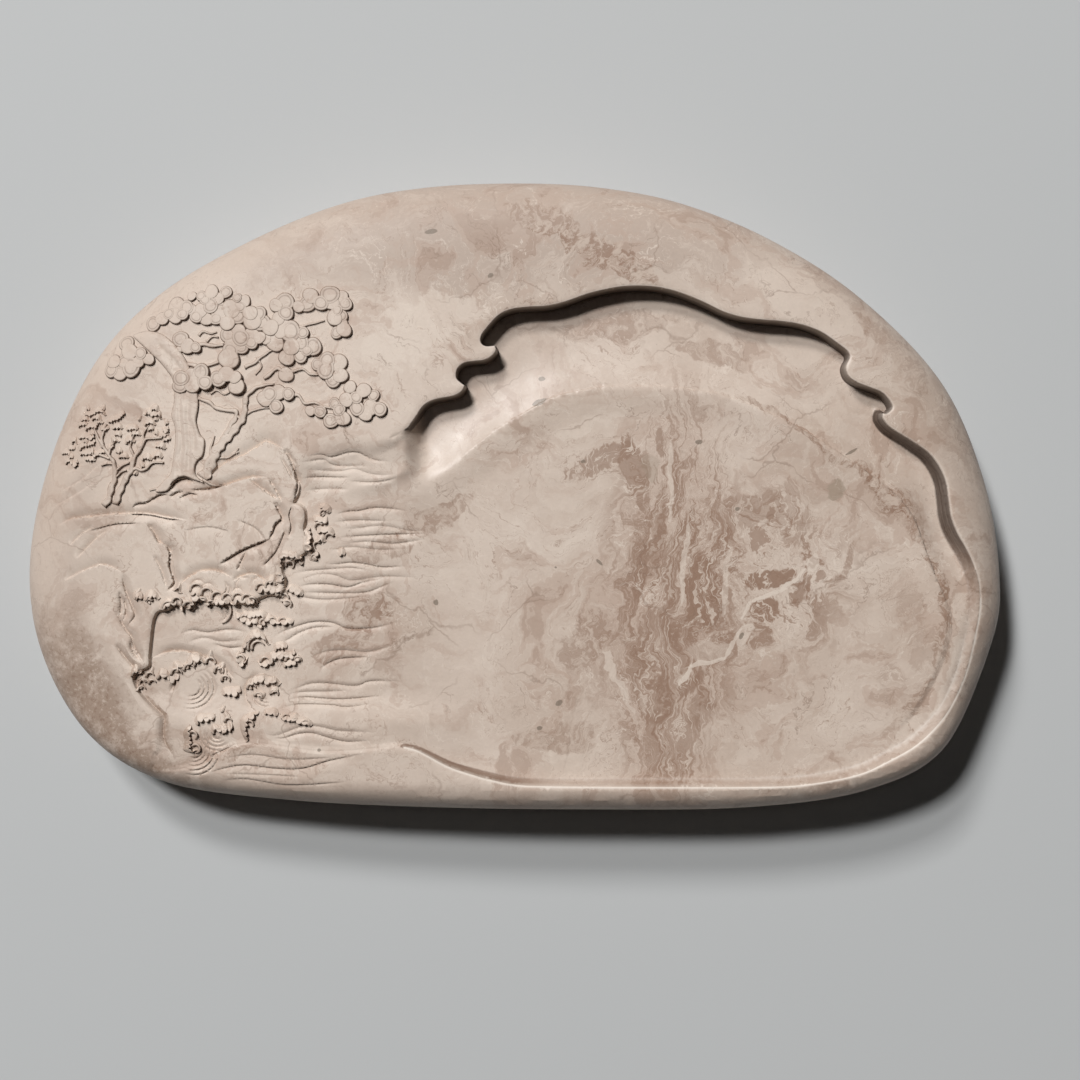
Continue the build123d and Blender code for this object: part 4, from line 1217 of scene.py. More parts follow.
RIGHT_LEDGES = [
    [(-96, 21), (-95, 21.7), (-94, 21), (-93, 20.8), (-92, 21), (-91.5, 19.8)],
    [(-100.8, 17), (-99.5, 17.4), (-97.4, 17.5)], [(-96.2, 18.5), (-94.5, 18.9), (-92.9, 18.3)],
    [(-95.2, 17), (-93.3, 17.6)], [(-91.2, 17), (-90, 16.5), (-89.4, 17.7)],
    [(-91.2, 14.2), (-89.5, 14.7), (-88.8, 14.9)], [(-101, 13.4), (-99.8, 14.4), (-98.2, 14.2)],
    [(-94, 10), (-92.4, 10.4), (-91, 10)], [(-98, 20), (-97, 19.4)], [(-97.4, 12), (-96, 13.6)],
    [(-99, 6), (-97.6, 5.6)], [(-93.4, 16), (-92, 16.2)], [(-94.4, 22.4), (-93, 22.6), (-92, 22)],
    [(-99.6, 15.8), (-98, 16), (-96.8, 15.6)], [(-93.6, 19.8), (-92.2, 19.6)],
    [(-92.4, 15.2), (-90.8, 15.6), (-89.4, 15.9)], [(-90.6, 18.6), (-89.4, 18.8)],
    [(-96.8, 9.4), (-95.2, 9.8), (-93.8, 9.4)], [(-93.2, 12.6), (-91.6, 12.8), (-90.2, 12.2)],
    [(-97, 7.4), (-95.8, 8)],
]
for name, ledges in (
    ("small_tree_left_leaves", LEFT_LEDGES), ("small_tree_right_leaves", RIGHT_LEDGES),
):
    shapes = Shapes()
    for ledge in ledges:
        shapes.frill(ledge, *LEAF_LEDGE)
    shapes.finish(name)

# Foam and spray: ragged ledges with curled claws. A ledge has reach, relief, tooth and
# width; a claw has a factor for its radius, its thickness and its rise.
SPRAY = ((2.0, 1.25, 1.0, 1.5), (1.15, 0.42, 0.85))
ROUND_SPRAY = ((2.0, 1.3, 1.0, 1.5), (1.15, 0.42, 0.85))
CREST_SPRAY = ((2.2, 1.15, 1.3, 1.7), (1.2, 0.44, 0.9))
BIG_SPRAY = ((2.3, 1.35, 1.2, 1.7), (1.2, 0.44, 0.9))
FOAM = {
    "shore_shrub": (
        [
            [(-52.4, -15.6), (-52.7, -13.4), (-52.4, -10.6), (-52.9, -8)],
            [(-50.4, -2.8), (-49.4, -3.4), (-48.2, -4.2), (-47.4, -4.6)],
            [(-52, -6.4), (-50.6, -6.8), (-49, -7), (-48, -6.2)],
            [(-51, -9.3), (-49.6, -9.6), (-48, -9.6), (-46.4, -10.2)],
            [(-51.4, -11.4), (-49.6, -11.6), (-48.8, -12.2)],
            [(-51.6, -14.6), (-51, -15.4), (-51.6, -17)], [(-45.4, -15.3), (-43.4, -15.3)],
            [(-50, -4.6), (-49, -5.2)],
        ],
        [
            (-49, -4.6, 0.9, 20, 220), (-50.4, -8, 0.9, 30, 230), (-47.6, -10.8, 0.9, 20, 200),
            (-50.8, -12.8, 0.8, 40, 240), (-51.6, -16, 0.7, 20, 230),
        ],
    ),
    "upper_wave_curl": (
        [[(-78.6, -27.9), (-76, -28), (-73.6, -28)]],
        [(-77, -30, 3.0, 62, -72), (-78.4, -28.4, 1.0, 200, 20)],
    ),
    "left_spray": (
        [
            [(-99, -26.8), (-97.6, -26.4), (-96.4, -26)],
            [(-96.2, -27.4), (-94.8, -26.4), (-93.6, -26.2), (-92, -27)],
            [(-98.6, -25.2), (-97.6, -25.9)], [(-95, -28.2), (-94.4, -27.6)],
        ],
        [(-97.4, -27.2, 0.6, 20, 200), (-94.6, -27.6, 0.6, 20, 200)],
    ),
    "shore_foam": (
        [
            [(-60, -18.6), (-60.2, -17), (-59.2, -16), (-57.5, -15.9), (-54.6, -16.1)],
            [(-54.3, -17), (-55.8, -17.8)],
            [(-61, -20.3), (-59.8, -20.5), (-59.5, -21.5), (-60.7, -22.6)],
            [(-59, -24), (-56.8, -25.2), (-54.6, -26)],
        ],
        [(-58, -18, 0.9, 200, -60), (-56, -17.2, 0.8, 210, -10), (-60.2, -21.4, 0.8, 120, -80)],
    ),
    "middle_foam": (
        [
            [
                (-72.4, -31), (-71, -32), (-69, -33.2), (-67, -33), (-66, -34.6), (-64, -32.4),
                (-62, -33.4), (-59, -33.2), (-57, -32.9),
            ],
            [(-70.6, -31), (-68.6, -31.8), (-66.6, -31.4), (-64, -31.2)],
        ],
        [
            (-70, -32, 0.8, 210, 10), (-67.4, -32.2, 0.9, 210, 10), (-65, -33, 0.8, 220, 10),
            (-62.6, -32.6, 0.8, 200, 0), (-60, -32.6, 0.7, 200, 0),
        ],
    ),
    "shell_foam": (
        [
            [(-72.2, -41), (-71.8, -42.8), (-71, -44.2), (-70, -43.8), (-69.4, -42.6)],
            [
                (-70.6, -41), (-69.6, -39.2), (-68.4, -37.6), (-66.6, -36.6), (-64.6, -37.4),
                (-63.6, -39),
            ],
            [
                (-66.6, -43.8), (-65, -44.6), (-63.5, -44), (-62.6, -42.6), (-60, -42),
                (-57.5, -42), (-56.8, -40.4),
            ],
            [(-60, -44.5), (-58, -44.3), (-56.8, -43.8), (-55.5, -42)],
            [(-62.4, -40.2), (-60.4, -39.8), (-58.6, -39.4)],
        ],
        [
            (-66.4, -39.4, 2.4, 200, 20), (-66.4, -39.6, 1.5, 200, 20), (-71, -42.6, 0.9, 160, -60),
            (-64.6, -43.2, 1.0, 190, 0), (-61, -42.8, 0.9, 190, 0), (-58.2, -43, 0.9, 190, 0),
            (-56, -42.8, 0.8, 190, -20),
        ],
    ),
    "left_foam_rings": (
        [
            [(-99.6, -46.6), (-98.4, -45.8), (-97, -46.2)],
            [(-98.6, -48.4), (-97, -48), (-95.6, -48.6)], [(-98.2, -50.6), (-96.6, -50)],
            [(-95.6, -46), (-94.4, -46.6)],
        ],
        [
            (-98.2, -47, 1.1, 190, 10), (-96.6, -49.2, 1.1, 200, 10), (-97.2, -50.8, 0.9, 190, 10),
            (-95, -47.2, 0.9, 190, 10), (-94.4, -49, 0.8, 190, 10),
        ],
    ),
    "low_left_foam": (
        [
            [
                (-84, -59.8), (-84.6, -61.6), (-84, -63.6), (-84.6, -65.8), (-83.4, -66.8),
                (-82.3, -66.4),
            ],
            [(-83, -59.6), (-81, -58.4), (-79, -58.4), (-77.6, -57.6)],
            [
                (-78.5, -62), (-77.5, -61), (-75.5, -61.6), (-74.5, -61), (-73.4, -61.4),
                (-73, -59.4),
            ],
            [(-75, -58.2), (-73.7, -57.4)], [(-76.6, -56), (-75.6, -56.6)],
        ],
        [
            (-83.6, -62.6, 1.0, 130, -60), (-82.8, -66, 1.0, 150, -100), (-77, -61.8, 1.0, 200, 0),
            (-74.6, -61.8, 0.8, 200, 0), (-74.2, -58.8, 0.8, 190, 0), (-80, -58.8, 0.9, 200, 10),
        ],
    ),
    "low_right_foam": (
        [
            [(-69, -64.2), (-69.5, -61), (-69.3, -59), (-68.3, -58), (-67.3, -57.2), (-66, -56.6)],
            [
                (-60.8, -57.2), (-60, -58.3), (-58, -58.6), (-57, -58.2), (-56, -59), (-54, -59.4),
                (-52.2, -60),
            ],
            [(-65, -56.8), (-63, -57), (-61, -57)],
        ],
        [
            (-59, -57.8, 0.8, 200, 0), (-56.6, -58.6, 0.7, 200, 0), (-54, -59.2, 0.7, 200, 0),
            (-68.6, -59.6, 0.9, 160, -40),
        ],
    ),
}

# Foam that lies on a larger wave: its wave, its kind, its ledges and its claws
WAVE_FOAM = {
    "upper_wave_foam": (
        "upper_wave_crest", CREST_SPRAY,
        [
            [(-92, -29.9), (-90.4, -29.2), (-89, -28.4), (-87.4, -28)],
            [(-86.8, -29.6), (-86, -29.4)],
            [
                (-85, -29.8), (-83.8, -29.2), (-83.2, -27.6), (-81.6, -26.9), (-80, -27.6),
                (-78.6, -28),
            ],
            [(-73.4, -28.2), (-71.5, -27.4), (-70, -27.8), (-68, -28.2), (-67.5, -26.6)],
            [(-66.6, -25), (-64.4, -24.4), (-62.6, -25), (-60.6, -25.6)],
            [(-61.4, -24), (-60, -25.6), (-60.2, -27.4), (-58.2, -28.4)],
            [(-64.4, -22.6), (-62.6, -22.4), (-61.4, -23.4)],
            [(-88.6, -25), (-87.2, -24.4), (-86.6, -25.6)],
            [(-84.4, -25.2), (-82.4, -25.6), (-80.6, -26)],
        ],
        [
            (-89.8, -28.8, 1.1, 200, -20), (-87.4, -27.6, 1.0, 200, -30),
            (-84.4, -28.8, 1.1, 180, -60), (-82.3, -24.4, 1.3, 200, 0), (-79.6, -25.4, 1.2, 200, 0),
            (-76.8, -26.4, 1.2, 210, 10), (-74.2, -26.6, 1.0, 200, 0), (-71.4, -26.6, 1.1, 200, 0),
            (-69, -26.8, 1.0, 200, -20), (-67.6, -27.4, 0.9, 140, -60), (-65.4, -24, 1.0, 200, 0),
            (-62.8, -23.4, 1.1, 210, 10), (-59.6, -26.6, 1.0, 160, -60),
            (-58.6, -28.2, 0.8, 160, -60), (-80.6, -27.4, 0.8, 200, -40),
        ],
    ),
    "big_wave_foam": (
        "big_wave", BIG_SPRAY,
        [
            [(-93, -48), (-92, -46.9), (-90.5, -47.5), (-89.5, -48.6), (-87.2, -47.6)],
            [(-88.5, -46.2), (-87.5, -45.1), (-86, -44.7)],
            [(-85.5, -45.4), (-84.3, -44.1), (-83, -43.1), (-81.5, -43.1), (-80.4, -43.9)],
            [(-80.2, -42.6), (-79.4, -42.3), (-78.5, -43)],
            [(-77.8, -45), (-76.6, -45.2), (-75.8, -46.2)], [(-75.6, -47.2), (-74.6, -47.2)],
            [(-76.2, -52), (-74, -51.8), (-72, -51.6), (-70.9, -50.6)],
        ],
        [
            (-91.4, -48, 1.3, 180, 0), (-88, -46.6, 1.2, 190, 0), (-84.6, -45.4, 1.2, 190, 10),
            (-82, -44, 1.0, 200, 0), (-79, -43.4, 1.0, 200, -30), (-76.8, -45.8, 1.0, 200, -30),
            (-75, -48, 0.9, 200, -30),
        ],
    ),
    "round_wave_foam": (
        "round_wave", ROUND_SPRAY,
        [
            [
                (-69, -50.5), (-68, -49.4), (-66.5, -48.6), (-65, -48.1), (-63.5, -48.9),
                (-62, -48.6), (-60.6, -49.3),
            ],
            [(-61, -51), (-62.2, -51.3), (-63.5, -51.2)],
            [(-67, -51.5), (-66, -52.5), (-65.7, -53.5)],
        ],
        [
            (-68.2, -50.2, 1.0, 190, 0), (-65.6, -49, 1.0, 190, 0), (-63, -49.4, 0.9, 190, 0),
            (-62.2, -51.6, 0.9, 190, -30), (-66.4, -52.4, 0.9, 170, -60),
        ],
    ),
}


def make_foam(node, kind, ledges, claws, name=None):
    shapes = Shapes()
    ledge_sizes, (widen, thick, rise) = kind
    for ledge in ledges:
        shapes.frill(ledge, *ledge_sizes)
    for x, y, radius, start, end in claws:
        shapes.claw(x, y, widen * radius, start, end, thick, rise)
    shapes.finish(node, name)


for node, (ledges, claws) in FOAM.items():
    make_foam(node, SPRAY, ledges, claws)
for name, (node, kind, ledges, claws) in WAVE_FOAM.items():
    make_foam(node, kind, ledges, claws, name)


# ------------------------------------------------------------------ material
def display(red, green, blue):
    """Shader colour of a colour on the 0 to 255 display scale."""
    return (*((v / 255) ** 2.2 for v in (red, green, blue)), 1)


PALE = display(222, 204, 189)
MID = display(206, 186, 170)
WARM = display(192, 166, 149)
BROWN = display(154, 123, 104)
DARK = display(136, 109, 92)
CREAM = display(232, 216, 201)
MARK = display(122, 109, 95)
WALL = display(132, 106, 90)
POOL_SHADE_INK = display(62, 48, 40)
GREEN = display(164, 148, 130)
CREVICE_SHADE = display(112, 90, 76)
ARRIS_GLINT = display(246, 235, 223)
RIND = display(166, 144, 128)
DUSK = display(187, 168, 154)


class Graph:
    """Short calls for the shader nodes of one material."""

    def __init__(self, name):
        self.material = bpy.data.materials.new(name)
        self.material.use_nodes = True
        self.tree = self.material.node_tree
        self.shader = self.tree.nodes["Principled BSDF"]

    def node(self, kind, *values, **settings):
        made = self.tree.nodes.new("ShaderNode" + kind)
        for key, value in settings.items():
            setattr(made, key, value)
        for index, value in enumerate(values):
            self.feed(made.inputs[index], value)
        return made

    def feed(self, socket, value):
        if isinstance(value, bpy.types.NodeSocket):
            self.tree.links.new(value, socket)
        else:
            socket.default_value = value

    def math(self, operation, *values, clamp=False):
        return self.node("Math", *values, operation=operation, use_clamp=clamp).outputs[0]

    def vector(self, operation, *values):
        made = self.node("VectorMath", *values, operation=operation)
        return made.outputs["Value" if operation == "LENGTH" else "Vector"]

    def noise(self, where, scale, detail=3.0, roughness=0.5, distortion=0.0, colour=False):
        made = self.node("TexNoise")
        names = ("Vector", "Scale", "Detail", "Roughness", "Distortion")
        for name, value in zip(names, (where, scale, detail, roughness, distortion)):
            self.feed(made.inputs[name], value)
        return made.outputs[1 if colour else 0]

    def ramp(self, value, low, high):
        """Smooth mask that is 0 at low and 1 at high."""
        made = self.node("MapRange", value, low, high, interpolation_type="SMOOTHSTEP")
        return made.outputs[0]

    def thread(self, value, level, half):
        """Thin line where the value passes the level."""
        away = self.math("ABSOLUTE", self.math("SUBTRACT", value, level))
        return self.ramp(away, half, 0.0)

    def blend(self, share, first, second):
        """Mix of two colours; a colour mix has its sockets at 6 and 7, its result at 2."""
        made = self.node("Mix", data_type="RGBA")
        for index, value in ((0, share), (6, first), (7, second)):
            self.feed(made.inputs[index], value)
        return made.outputs[2]

    def paint(self, colour, tone, share, *factors):
        """The colour turned towards the tone by the share times every factor."""
        for factor in factors:
            share = self.math("MULTIPLY", share, factor)
        return self.blend(share, colour, tone)

    def blot(self, where, x, y, long, short, angle, soft):
        """Mask of a turned ellipse with a soft edge."""
        made = self.node("Mapping", vector_type="TEXTURE")
        self.feed(made.inputs["Vector"], where)
        self.feed(made.inputs["Location"], (x, y, 0))
        self.feed(made.inputs["Rotation"], (0, 0, math.radians(angle)))
        self.feed(made.inputs["Scale"], (long, short, 1000))
        return self.ramp(self.vector("LENGTH", made.outputs[0]), 1 + soft, 1 - soft)

    def patch(self, where, x, y, long, short, angle, strength, fray):
        """Mask of a turned ellipse whose edge is torn by the fray value."""
        turn = math.radians(angle)
        east, north = math.cos(turn), math.sin(turn)
        across = []
        for a, b, size in ((east, north, long), (-north, east, short)):
            made = self.node("VectorMath", where, (a / size, b / size, 0), operation="DOT_PRODUCT")
            across.append(self.math("SUBTRACT", made.outputs["Value"], (x * a + y * b) / size))
        v2 = self.math("MULTIPLY", across[1], across[1])
        reach = self.math("SUBTRACT", self.math("MULTIPLY_ADD", across[0], across[0], v2), fray)
        made = self.node(
            "MapRange", reach, 1.2, 0.8, 0.0, strength, interpolation_type="SMOOTHSTEP"
        )
        return made.outputs[0]


# Where a field of noise turns to a colour: start, full, colour, strength
FLOW_BANDS = ((0.50, 0.56, BROWN, 0.82), (0.44, 0.40, CREAM, 0.3), (0.38, 0.35, BROWN, 0.7))
# Thin lines where a field passes a level: level, half width, colour, strength
FLOW_THREADS = (
    (0.475, 0.008, CREAM, 0.7), (0.50, 0.006, DARK, 0.4), (0.59, 0.008, CREAM, 0.5),
    (0.42, 0.006, DARK, 0.4),
)
FINE_THREADS = (
    (0.5, 0.005, DARK, 0.5, "broken"), (0.44, 0.005, CREAM, 0.75, "unbroken"),
    (0.56, 0.005, CREAM, 0.7, "broken"), (0.4, 0.005, BROWN, 0.6, "unbroken"),
    (0.6, 0.005, DARK, 0.5, "unbroken"), (0.53, 0.004, BROWN, 0.5, "unbroken"),
)
PATCH_STRENGTH = 0.95
SPOT_STRENGTH = 0.7
SPECULAR = 0.4
BUMP_DEPTH = 0.06
BUMP_STRENGTH = 0.5

# Patches of colour, some of them painted light as noted below: x, y, half length, half width,
# angle, strength
BROWN_PATCHES = [
    (-74, -67.6, 8, 1.4, 22, 0.7), (-38, -30, 8, 4, 25, 0.8), (-33, -14, 9, 3, 10, 0.55),
    (-20, -5.5, 12, 2.6, 30, 0.6), (-45, -38, 8, 4, 35, 0.6), (-31, -45, 5, 4, 60, 0.3),
    (8, 72, 11, 3.5, -12, 0.75), (26, 62, 14, 4, -28, 0.8), (100, 38, 12, 4.5, -48, 0.45),
    (117, 14, 12, 5, -65, 0.35), (85, 56, 10, 4, -35, 0.3), (113, -30, 7, 1.5, -82, 0.7),
    (111.6, -41, 7, 2.4, 76, 0.6), (107, -52, 6, 2.2, 60, 0.5), (100.5, -61, 5, 1.4, 45, 0.35),
    (18.8, -38.6, 8, 5, 60, 0.45), (28, 45, 16, 3.5, 8, 0.55), (52, 38, 12, 3, -20, 0.5),
    # The patches from (66, 22) to (101, -2) follow the ridge crease: partly brown in the stone,
    # partly painted shade of the crease
    (-60, 62, 12, 4, 30, 0.25), (101, -2, 14, 3.4, -48, 0.55), (111, -22, 8, 1.6, -65, 0.8),
    (-110, -52, 14, 5, -50, 0.35), (66, 22, 9, 1.0, -25, 0.6), (79, 15, 9, 1.2, -30, 0.7),
    (90, 8, 8, 1.6, -36, 0.75), (98, 1, 8, 2.4, -46, 0.75), (106, -36, 14, 3, -82, 0.3),
    (103, -52, 10, 4, -50, 0.3), (87.6, -17.5, 7, 0.9, 62, 0.6), (20, -44, 12, 9, 80, 0.3),
    (13.8, -63, 12, 4, 0, 0.5), (5, 14, 5, 4, 40, 0.25),
]
# The first cream patch, on the shoulder above the cove, is a painted highlight; the rest are pale
# patches in the stone
CREAM_PATCHES = [
    (-23, 43, 16, 7, 28, 0.6), (50, -62, 8, 5, 0, 0.25), (10, -8, 12, 8, 20, 0.25),
    (2, 36, 16, 8, 15, 0.25), (27, -45, 6, 1.0, -60, 0.6), (30, -53, 4, 0.8, -70, 0.5),
    (86, 22, 12, 4, -30, 0.3), (18, 22, 12, 6, 10, 0.3), (56, 13, 9, 6, 0, 0.25),
    (118, -34, 10, 2.2, -88, 0.5), (114.6, -49, 9, 2, 68, 0.5), (105.4, -61.6, 9, 1.8, 45, 0.4),
]
# Streaked patches of the flow in the hall
FLOW_PATCHES = [
    (22.4, 9.2, 10, 3.4, 25, 0.7), (31.6, 7, 9.5, 3.2, -80, 0.7), (39, 14.3, 3.6, 1.2, 90, 0.7),
    (42.8, 2.9, 4, 1.1, 75, 0.7), (33.6, -20, 9, 1.7, 82, 0.75), (47, -6.6, 4.5, 0.8, 80, 0.9),
    (44.1, -10, 5, 1.0, 70, 0.8), (49.4, -25.4, 10, 4.4, -86, 0.9), (37.5, -44.5, 15, 7, 88, 0.6),
    (41.5, -64, 10, 8, 90, 0.6), (64.5, -3.7, 7, 5, 30, 0.5), (74, -8, 6, 3, 60, 0.5),
    (67.8, -21.5, 6, 2.2, 20, 0.95), (65.2, -30, 4.2, 3.2, 20, 0.95), (75, -25, 4.4, 2, 60, 0.8),
    (46.7, -49, 5.4, 2.2, 50, 0.85), (50, -55, 6, 3.4, 70, 0.55), (72, -3, 8, 3, 70, 0.4),
    (56, -8, 8, 3, 80, 0.4), (45.8, 8.2, 2.2, 1.4, 30, 0.6), (38, -8, 12, 2, 85, 0.5),
    (41, -24, 16, 1.6, 90, 0.6),
]
RIBBONS = [
    (45.6, -46, 3.2, 0.6, 62, 0.85), (51, -43, 5.2, 0.6, 12, 0.75),
    (57.6, -38.5, 4.2, 0.6, 60, 0.7), (60.6, -36, 2.8, 1.8, 60, 0.55),
    (61.2, -29.6, 3.2, 0.5, 65, 0.8), (66.4, -26, 4.8, 0.6, 22, 0.9),
    (73, -21.4, 4.4, 0.5, 42, 0.8), (78, -17, 2.6, 1.4, 60, 0.6), (45.2, -18, 12, 0.6, 84, 0.6),
    (41.4, 4, 12, 0.7, 88, 0.6), (56, -22, 10, 0.7, 82, 0.4), (52, -40, 6, 2.6, 8, 0.35),
]
GREEN_PATCHES = [(84, 1.6, 3.6, 2.2, 70, 0.6), (36, 8, 2.4, 3.4, 0, 0.35)]
# Small dark spots: x, y, half length, half width, angle
SPOTS = [
    (7.4, 24.9, 2.2, 0.8, 25), (18.2, 9.1, 0.9, 0.8, 0), (-5.5, 57, 0.9, 0.7, 20),
    (48.6, 14, 1.0, 0.7, 10), (7.7, 30.9, 0.9, 0.7, 0), (88.8, 11.8, 1.8, 0.35, 30),
    (59.1, -3.3, 0.6, 0.5, 20), (59.9, -36.6, 0.9, 0.5, 60), (23, -17.5, 1.2, 0.4, -40),
    (11.2, -18.8, 0.3, 0.3, 0), (-20, -28, 0.8, 0.9, 0), (12, -54, 1.1, 0.8, 20),
    (7, -60.5, 0.7, 0.5, 0), (-21, 68.5, 1.6, 0.6, 10), (-50, -66, 0.4, 0.4, 0),
]


def stone_material():
    """Silty brown stone with flowing bands, threads and spots, fixed to the object."""
    g = Graph("stone")
    place = g.node("TexCoord").outputs["Object"]
    where = g.vector("SCALE", place)
    g.feed(where.node.inputs["Scale"], 1 / MM)
    bend = g.vector("SUBTRACT", g.noise(where, 0.016, 2, colour=True), (0.5, 0.5, 0.5))
    curl = g.vector("SUBTRACT", g.noise(where, 0.075, 4, 0.6, colour=True), (0.5, 0.5, 0.5))
    bent = g.vector("ADD", where, g.vector("MULTIPLY", bend, (44, 44, 20)))
    ragged = g.vector("ADD", where, g.vector("MULTIPLY", curl, (13, 13, 4)))
    bent = g.vector("ADD", bent, g.vector("MULTIPLY", curl, (20, 20, 6)))

    cloud = g.ramp(g.noise(bent, 0.022, 5, 0.6), 0.38, 0.66)
    colour = g.blend(cloud, PALE, MID)
    x_axis, y_axis, up = g.node("SeparateXYZ", where).outputs
    east = g.ramp(g.math("SUBTRACT", x_axis, g.math("MULTIPLY", y_axis, 0.35)), -70.0, 130.0)
    colour = g.paint(colour, WARM, east, 0.05)
    crown = g.blot(ragged, -5, 70, 80, 18, 0, 0.3)
    colour = g.paint(colour, DUSK, crown, 0.68)
    west = g.ramp(x_axis, -20.0, -75.0)
    colour = g.paint(colour, CREAM, west, 0.35)
    wisps = g.noise(g.vector("MULTIPLY", bent, (0.05, 0.13, 0.1)), 1.0, 7, 0.62, 1.2)
    colour = g.paint(colour, WARM, g.ramp(wisps, 0.5, 0.66), 0.45)
    colour = g.paint(colour, CREAM, g.ramp(wisps, 0.44, 0.34), 0.35)

    # Broad clouds with crisp torn edges
    drift = g.noise(bent, 0.042, 6, 0.62, 1.5)
    colour = g.paint(colour, WARM, g.ramp(drift, 0.535, 0.56), 0.38)
    colour = g.paint(colour, BROWN, g.ramp(drift, 0.60, 0.615), 0.3)
    colour = g.paint(colour, CREAM, g.ramp(drift, 0.45, 0.43), 0.3)
    colour = g.paint(colour, CREAM, g.thread(drift, 0.53, 0.005), 0.5)
    colour = g.paint(colour, BROWN, g.thread(drift, 0.425, 0.005), 0.4)

    # The flow that runs down the middle of the hall, and its swirl
    flow_area = g.blot(ragged, 42, -28, 17, 52, -3, 0.4)
    swirl_area = g.blot(ragged, 64, -22, 24, 22, 30, 0.4)
    colour = g.paint(colour, WARM, flow_area, 0.6)
    flow = g.noise(g.vector("MULTIPLY", bent, (0.30, 0.045, 0.05)), 1.0, 5, 0.62, 1.1)
    swirl = g.noise(bent, 0.07, 5, 0.58, 2.0)
    for area, field in ((swirl_area, swirl), (flow_area, flow)):
        for low, high, tone, strength in FLOW_BANDS:
            colour = g.paint(colour, tone, g.ramp(field, low, high), area, strength)
        for level, half, tone, strength in FLOW_THREADS:
            colour = g.paint(colour, tone, g.thread(field, level, half), area, strength)

    tear = g.math("SUBTRACT", g.noise(ragged, 0.16, 5, 0.65), 0.5)
    streak = g.math("SUBTRACT", g.noise(g.vector("MULTIPLY", ragged, (
        0.75, 0.07, 0.1,
    )), 1.0, 4, 0.6, 0.6), 0.5)
    torn = g.math("MULTIPLY", tear, 3.8)
    frayed = g.math("ADD", g.math("MULTIPLY", tear, 2.0), g.math("MULTIPLY", streak, 2.6))
    near = g.vector("ADD", where, g.vector("MULTIPLY", curl, (6, 6, 2)))
    fibre = g.noise(g.vector("MULTIPLY", bent, (0.95, 0.1, 0.1)), 1.0, 4, 0.6, 0.8)
    banded = g.blend(g.ramp(fibre, 0.52, 0.6), BROWN, MID)
    banded = g.paint(banded, CREAM, g.thread(fibre, 0.6, 0.02), 0.8)
    banded = g.paint(banded, DARK, g.thread(fibre, 0.42, 0.015), 0.6)
    marble = g.noise(bent, 0.24, 6, 0.68, 1.6)
    cloudy = g.blend(g.ramp(marble, 0.46, 0.6), BROWN, MID)
    cloudy = g.paint(cloudy, CREAM, g.thread(marble, 0.5, 0.012), 0.7)
    cloudy = g.paint(cloudy, DARK, g.thread(marble, 0.44, 0.01), 0.6)
    for patches, tone, fray, at in (
        (BROWN_PATCHES, cloudy, torn, ragged), (CREAM_PATCHES, CREAM, torn, ragged),
        (FLOW_PATCHES, banded, frayed, near), (RIBBONS, CREAM, torn, near),
        (GREEN_PATCHES, GREEN, torn, near),
    ):
        for *ellipse, strength in patches:
            colour = g.paint(colour, tone, g.patch(at, *ellipse, PATCH_STRENGTH * strength, fray))

    # Threads everywhere
    gaps = g.noise(where, 0.05, 3)
    parts = {"broken": g.ramp(gaps, 0.45, 0.6), "unbroken": g.ramp(gaps, 0.52, 0.4)}
    fine = g.noise(bent, 0.036, 6, 0.55, 0.8)
    for level, half, tone, strength, part in FINE_THREADS:
        colour = g.paint(colour, tone, g.thread(fine, level, half), parts[part], strength)
    crack = g.node("TexVoronoi", feature="DISTANCE_TO_EDGE")
    g.feed(crack.inputs["Vector"], g.vector("MULTIPLY", ragged, (0.028, 0.04, 0.04)))
    g.feed(crack.inputs["Scale"], 1.0)
    colour = g.paint(colour, DARK, g.ramp(crack.outputs[0], 0.012, 0.0), parts["broken"], 0.4)

    # Worn rind: darker and mottled where the edge turns down
    facing = g.node("SeparateXYZ", g.node("NewGeometry").outputs["Normal"])
    toward = g.math("MULTIPLY", facing.outputs[0], g.math("MULTIPLY_ADD", x_axis, -1 / 100, 0.3))
    toward = g.math("MULTIPLY_ADD", facing.outputs[1], g.math("MULTIPLY", y_axis, -1 / 70), toward)
    turned = g.math("MAXIMUM", g.ramp(toward, -0.01, -0.24), g.ramp(up, 30.0, 25.0))
    near_front = g.math("MULTIPLY", g.ramp(y_axis, -20.0, -58.0), 0.35)
    near_right = g.math("MULTIPLY", g.ramp(x_axis, 78.0, 112.0), 0.3)
    weathered = g.math("MAXIMUM", near_front, near_right)
    tinted = g.math("MULTIPLY_ADD", g.ramp(x_axis, 60.0, -30.0), 0.38, 0.12)
    colour = g.paint(colour, DUSK, turned, tinted)
    corner = g.blot(ragged, -104, -56, 30, 14, -48, 0.5)
    worn = g.math("MULTIPLY_ADD", corner, 0.85, g.math("MULTIPLY", weathered, 0.5))
    rind = g.math("MULTIPLY", turned, worn)
    mottle = g.noise(ragged, 0.14, 6, 0.7)
    speckle = g.noise(where, 0.9, 4, 0.7)
    colour = g.paint(colour, RIND, rind, g.ramp(mottle, 0.34, 0.56))
    colour = g.paint(colour, DARK, rind, 0.6, g.ramp(speckle, 0.54, 0.66))
    colour = g.paint(colour, CREAM, rind, 0.35, g.ramp(speckle, 0.44, 0.36))

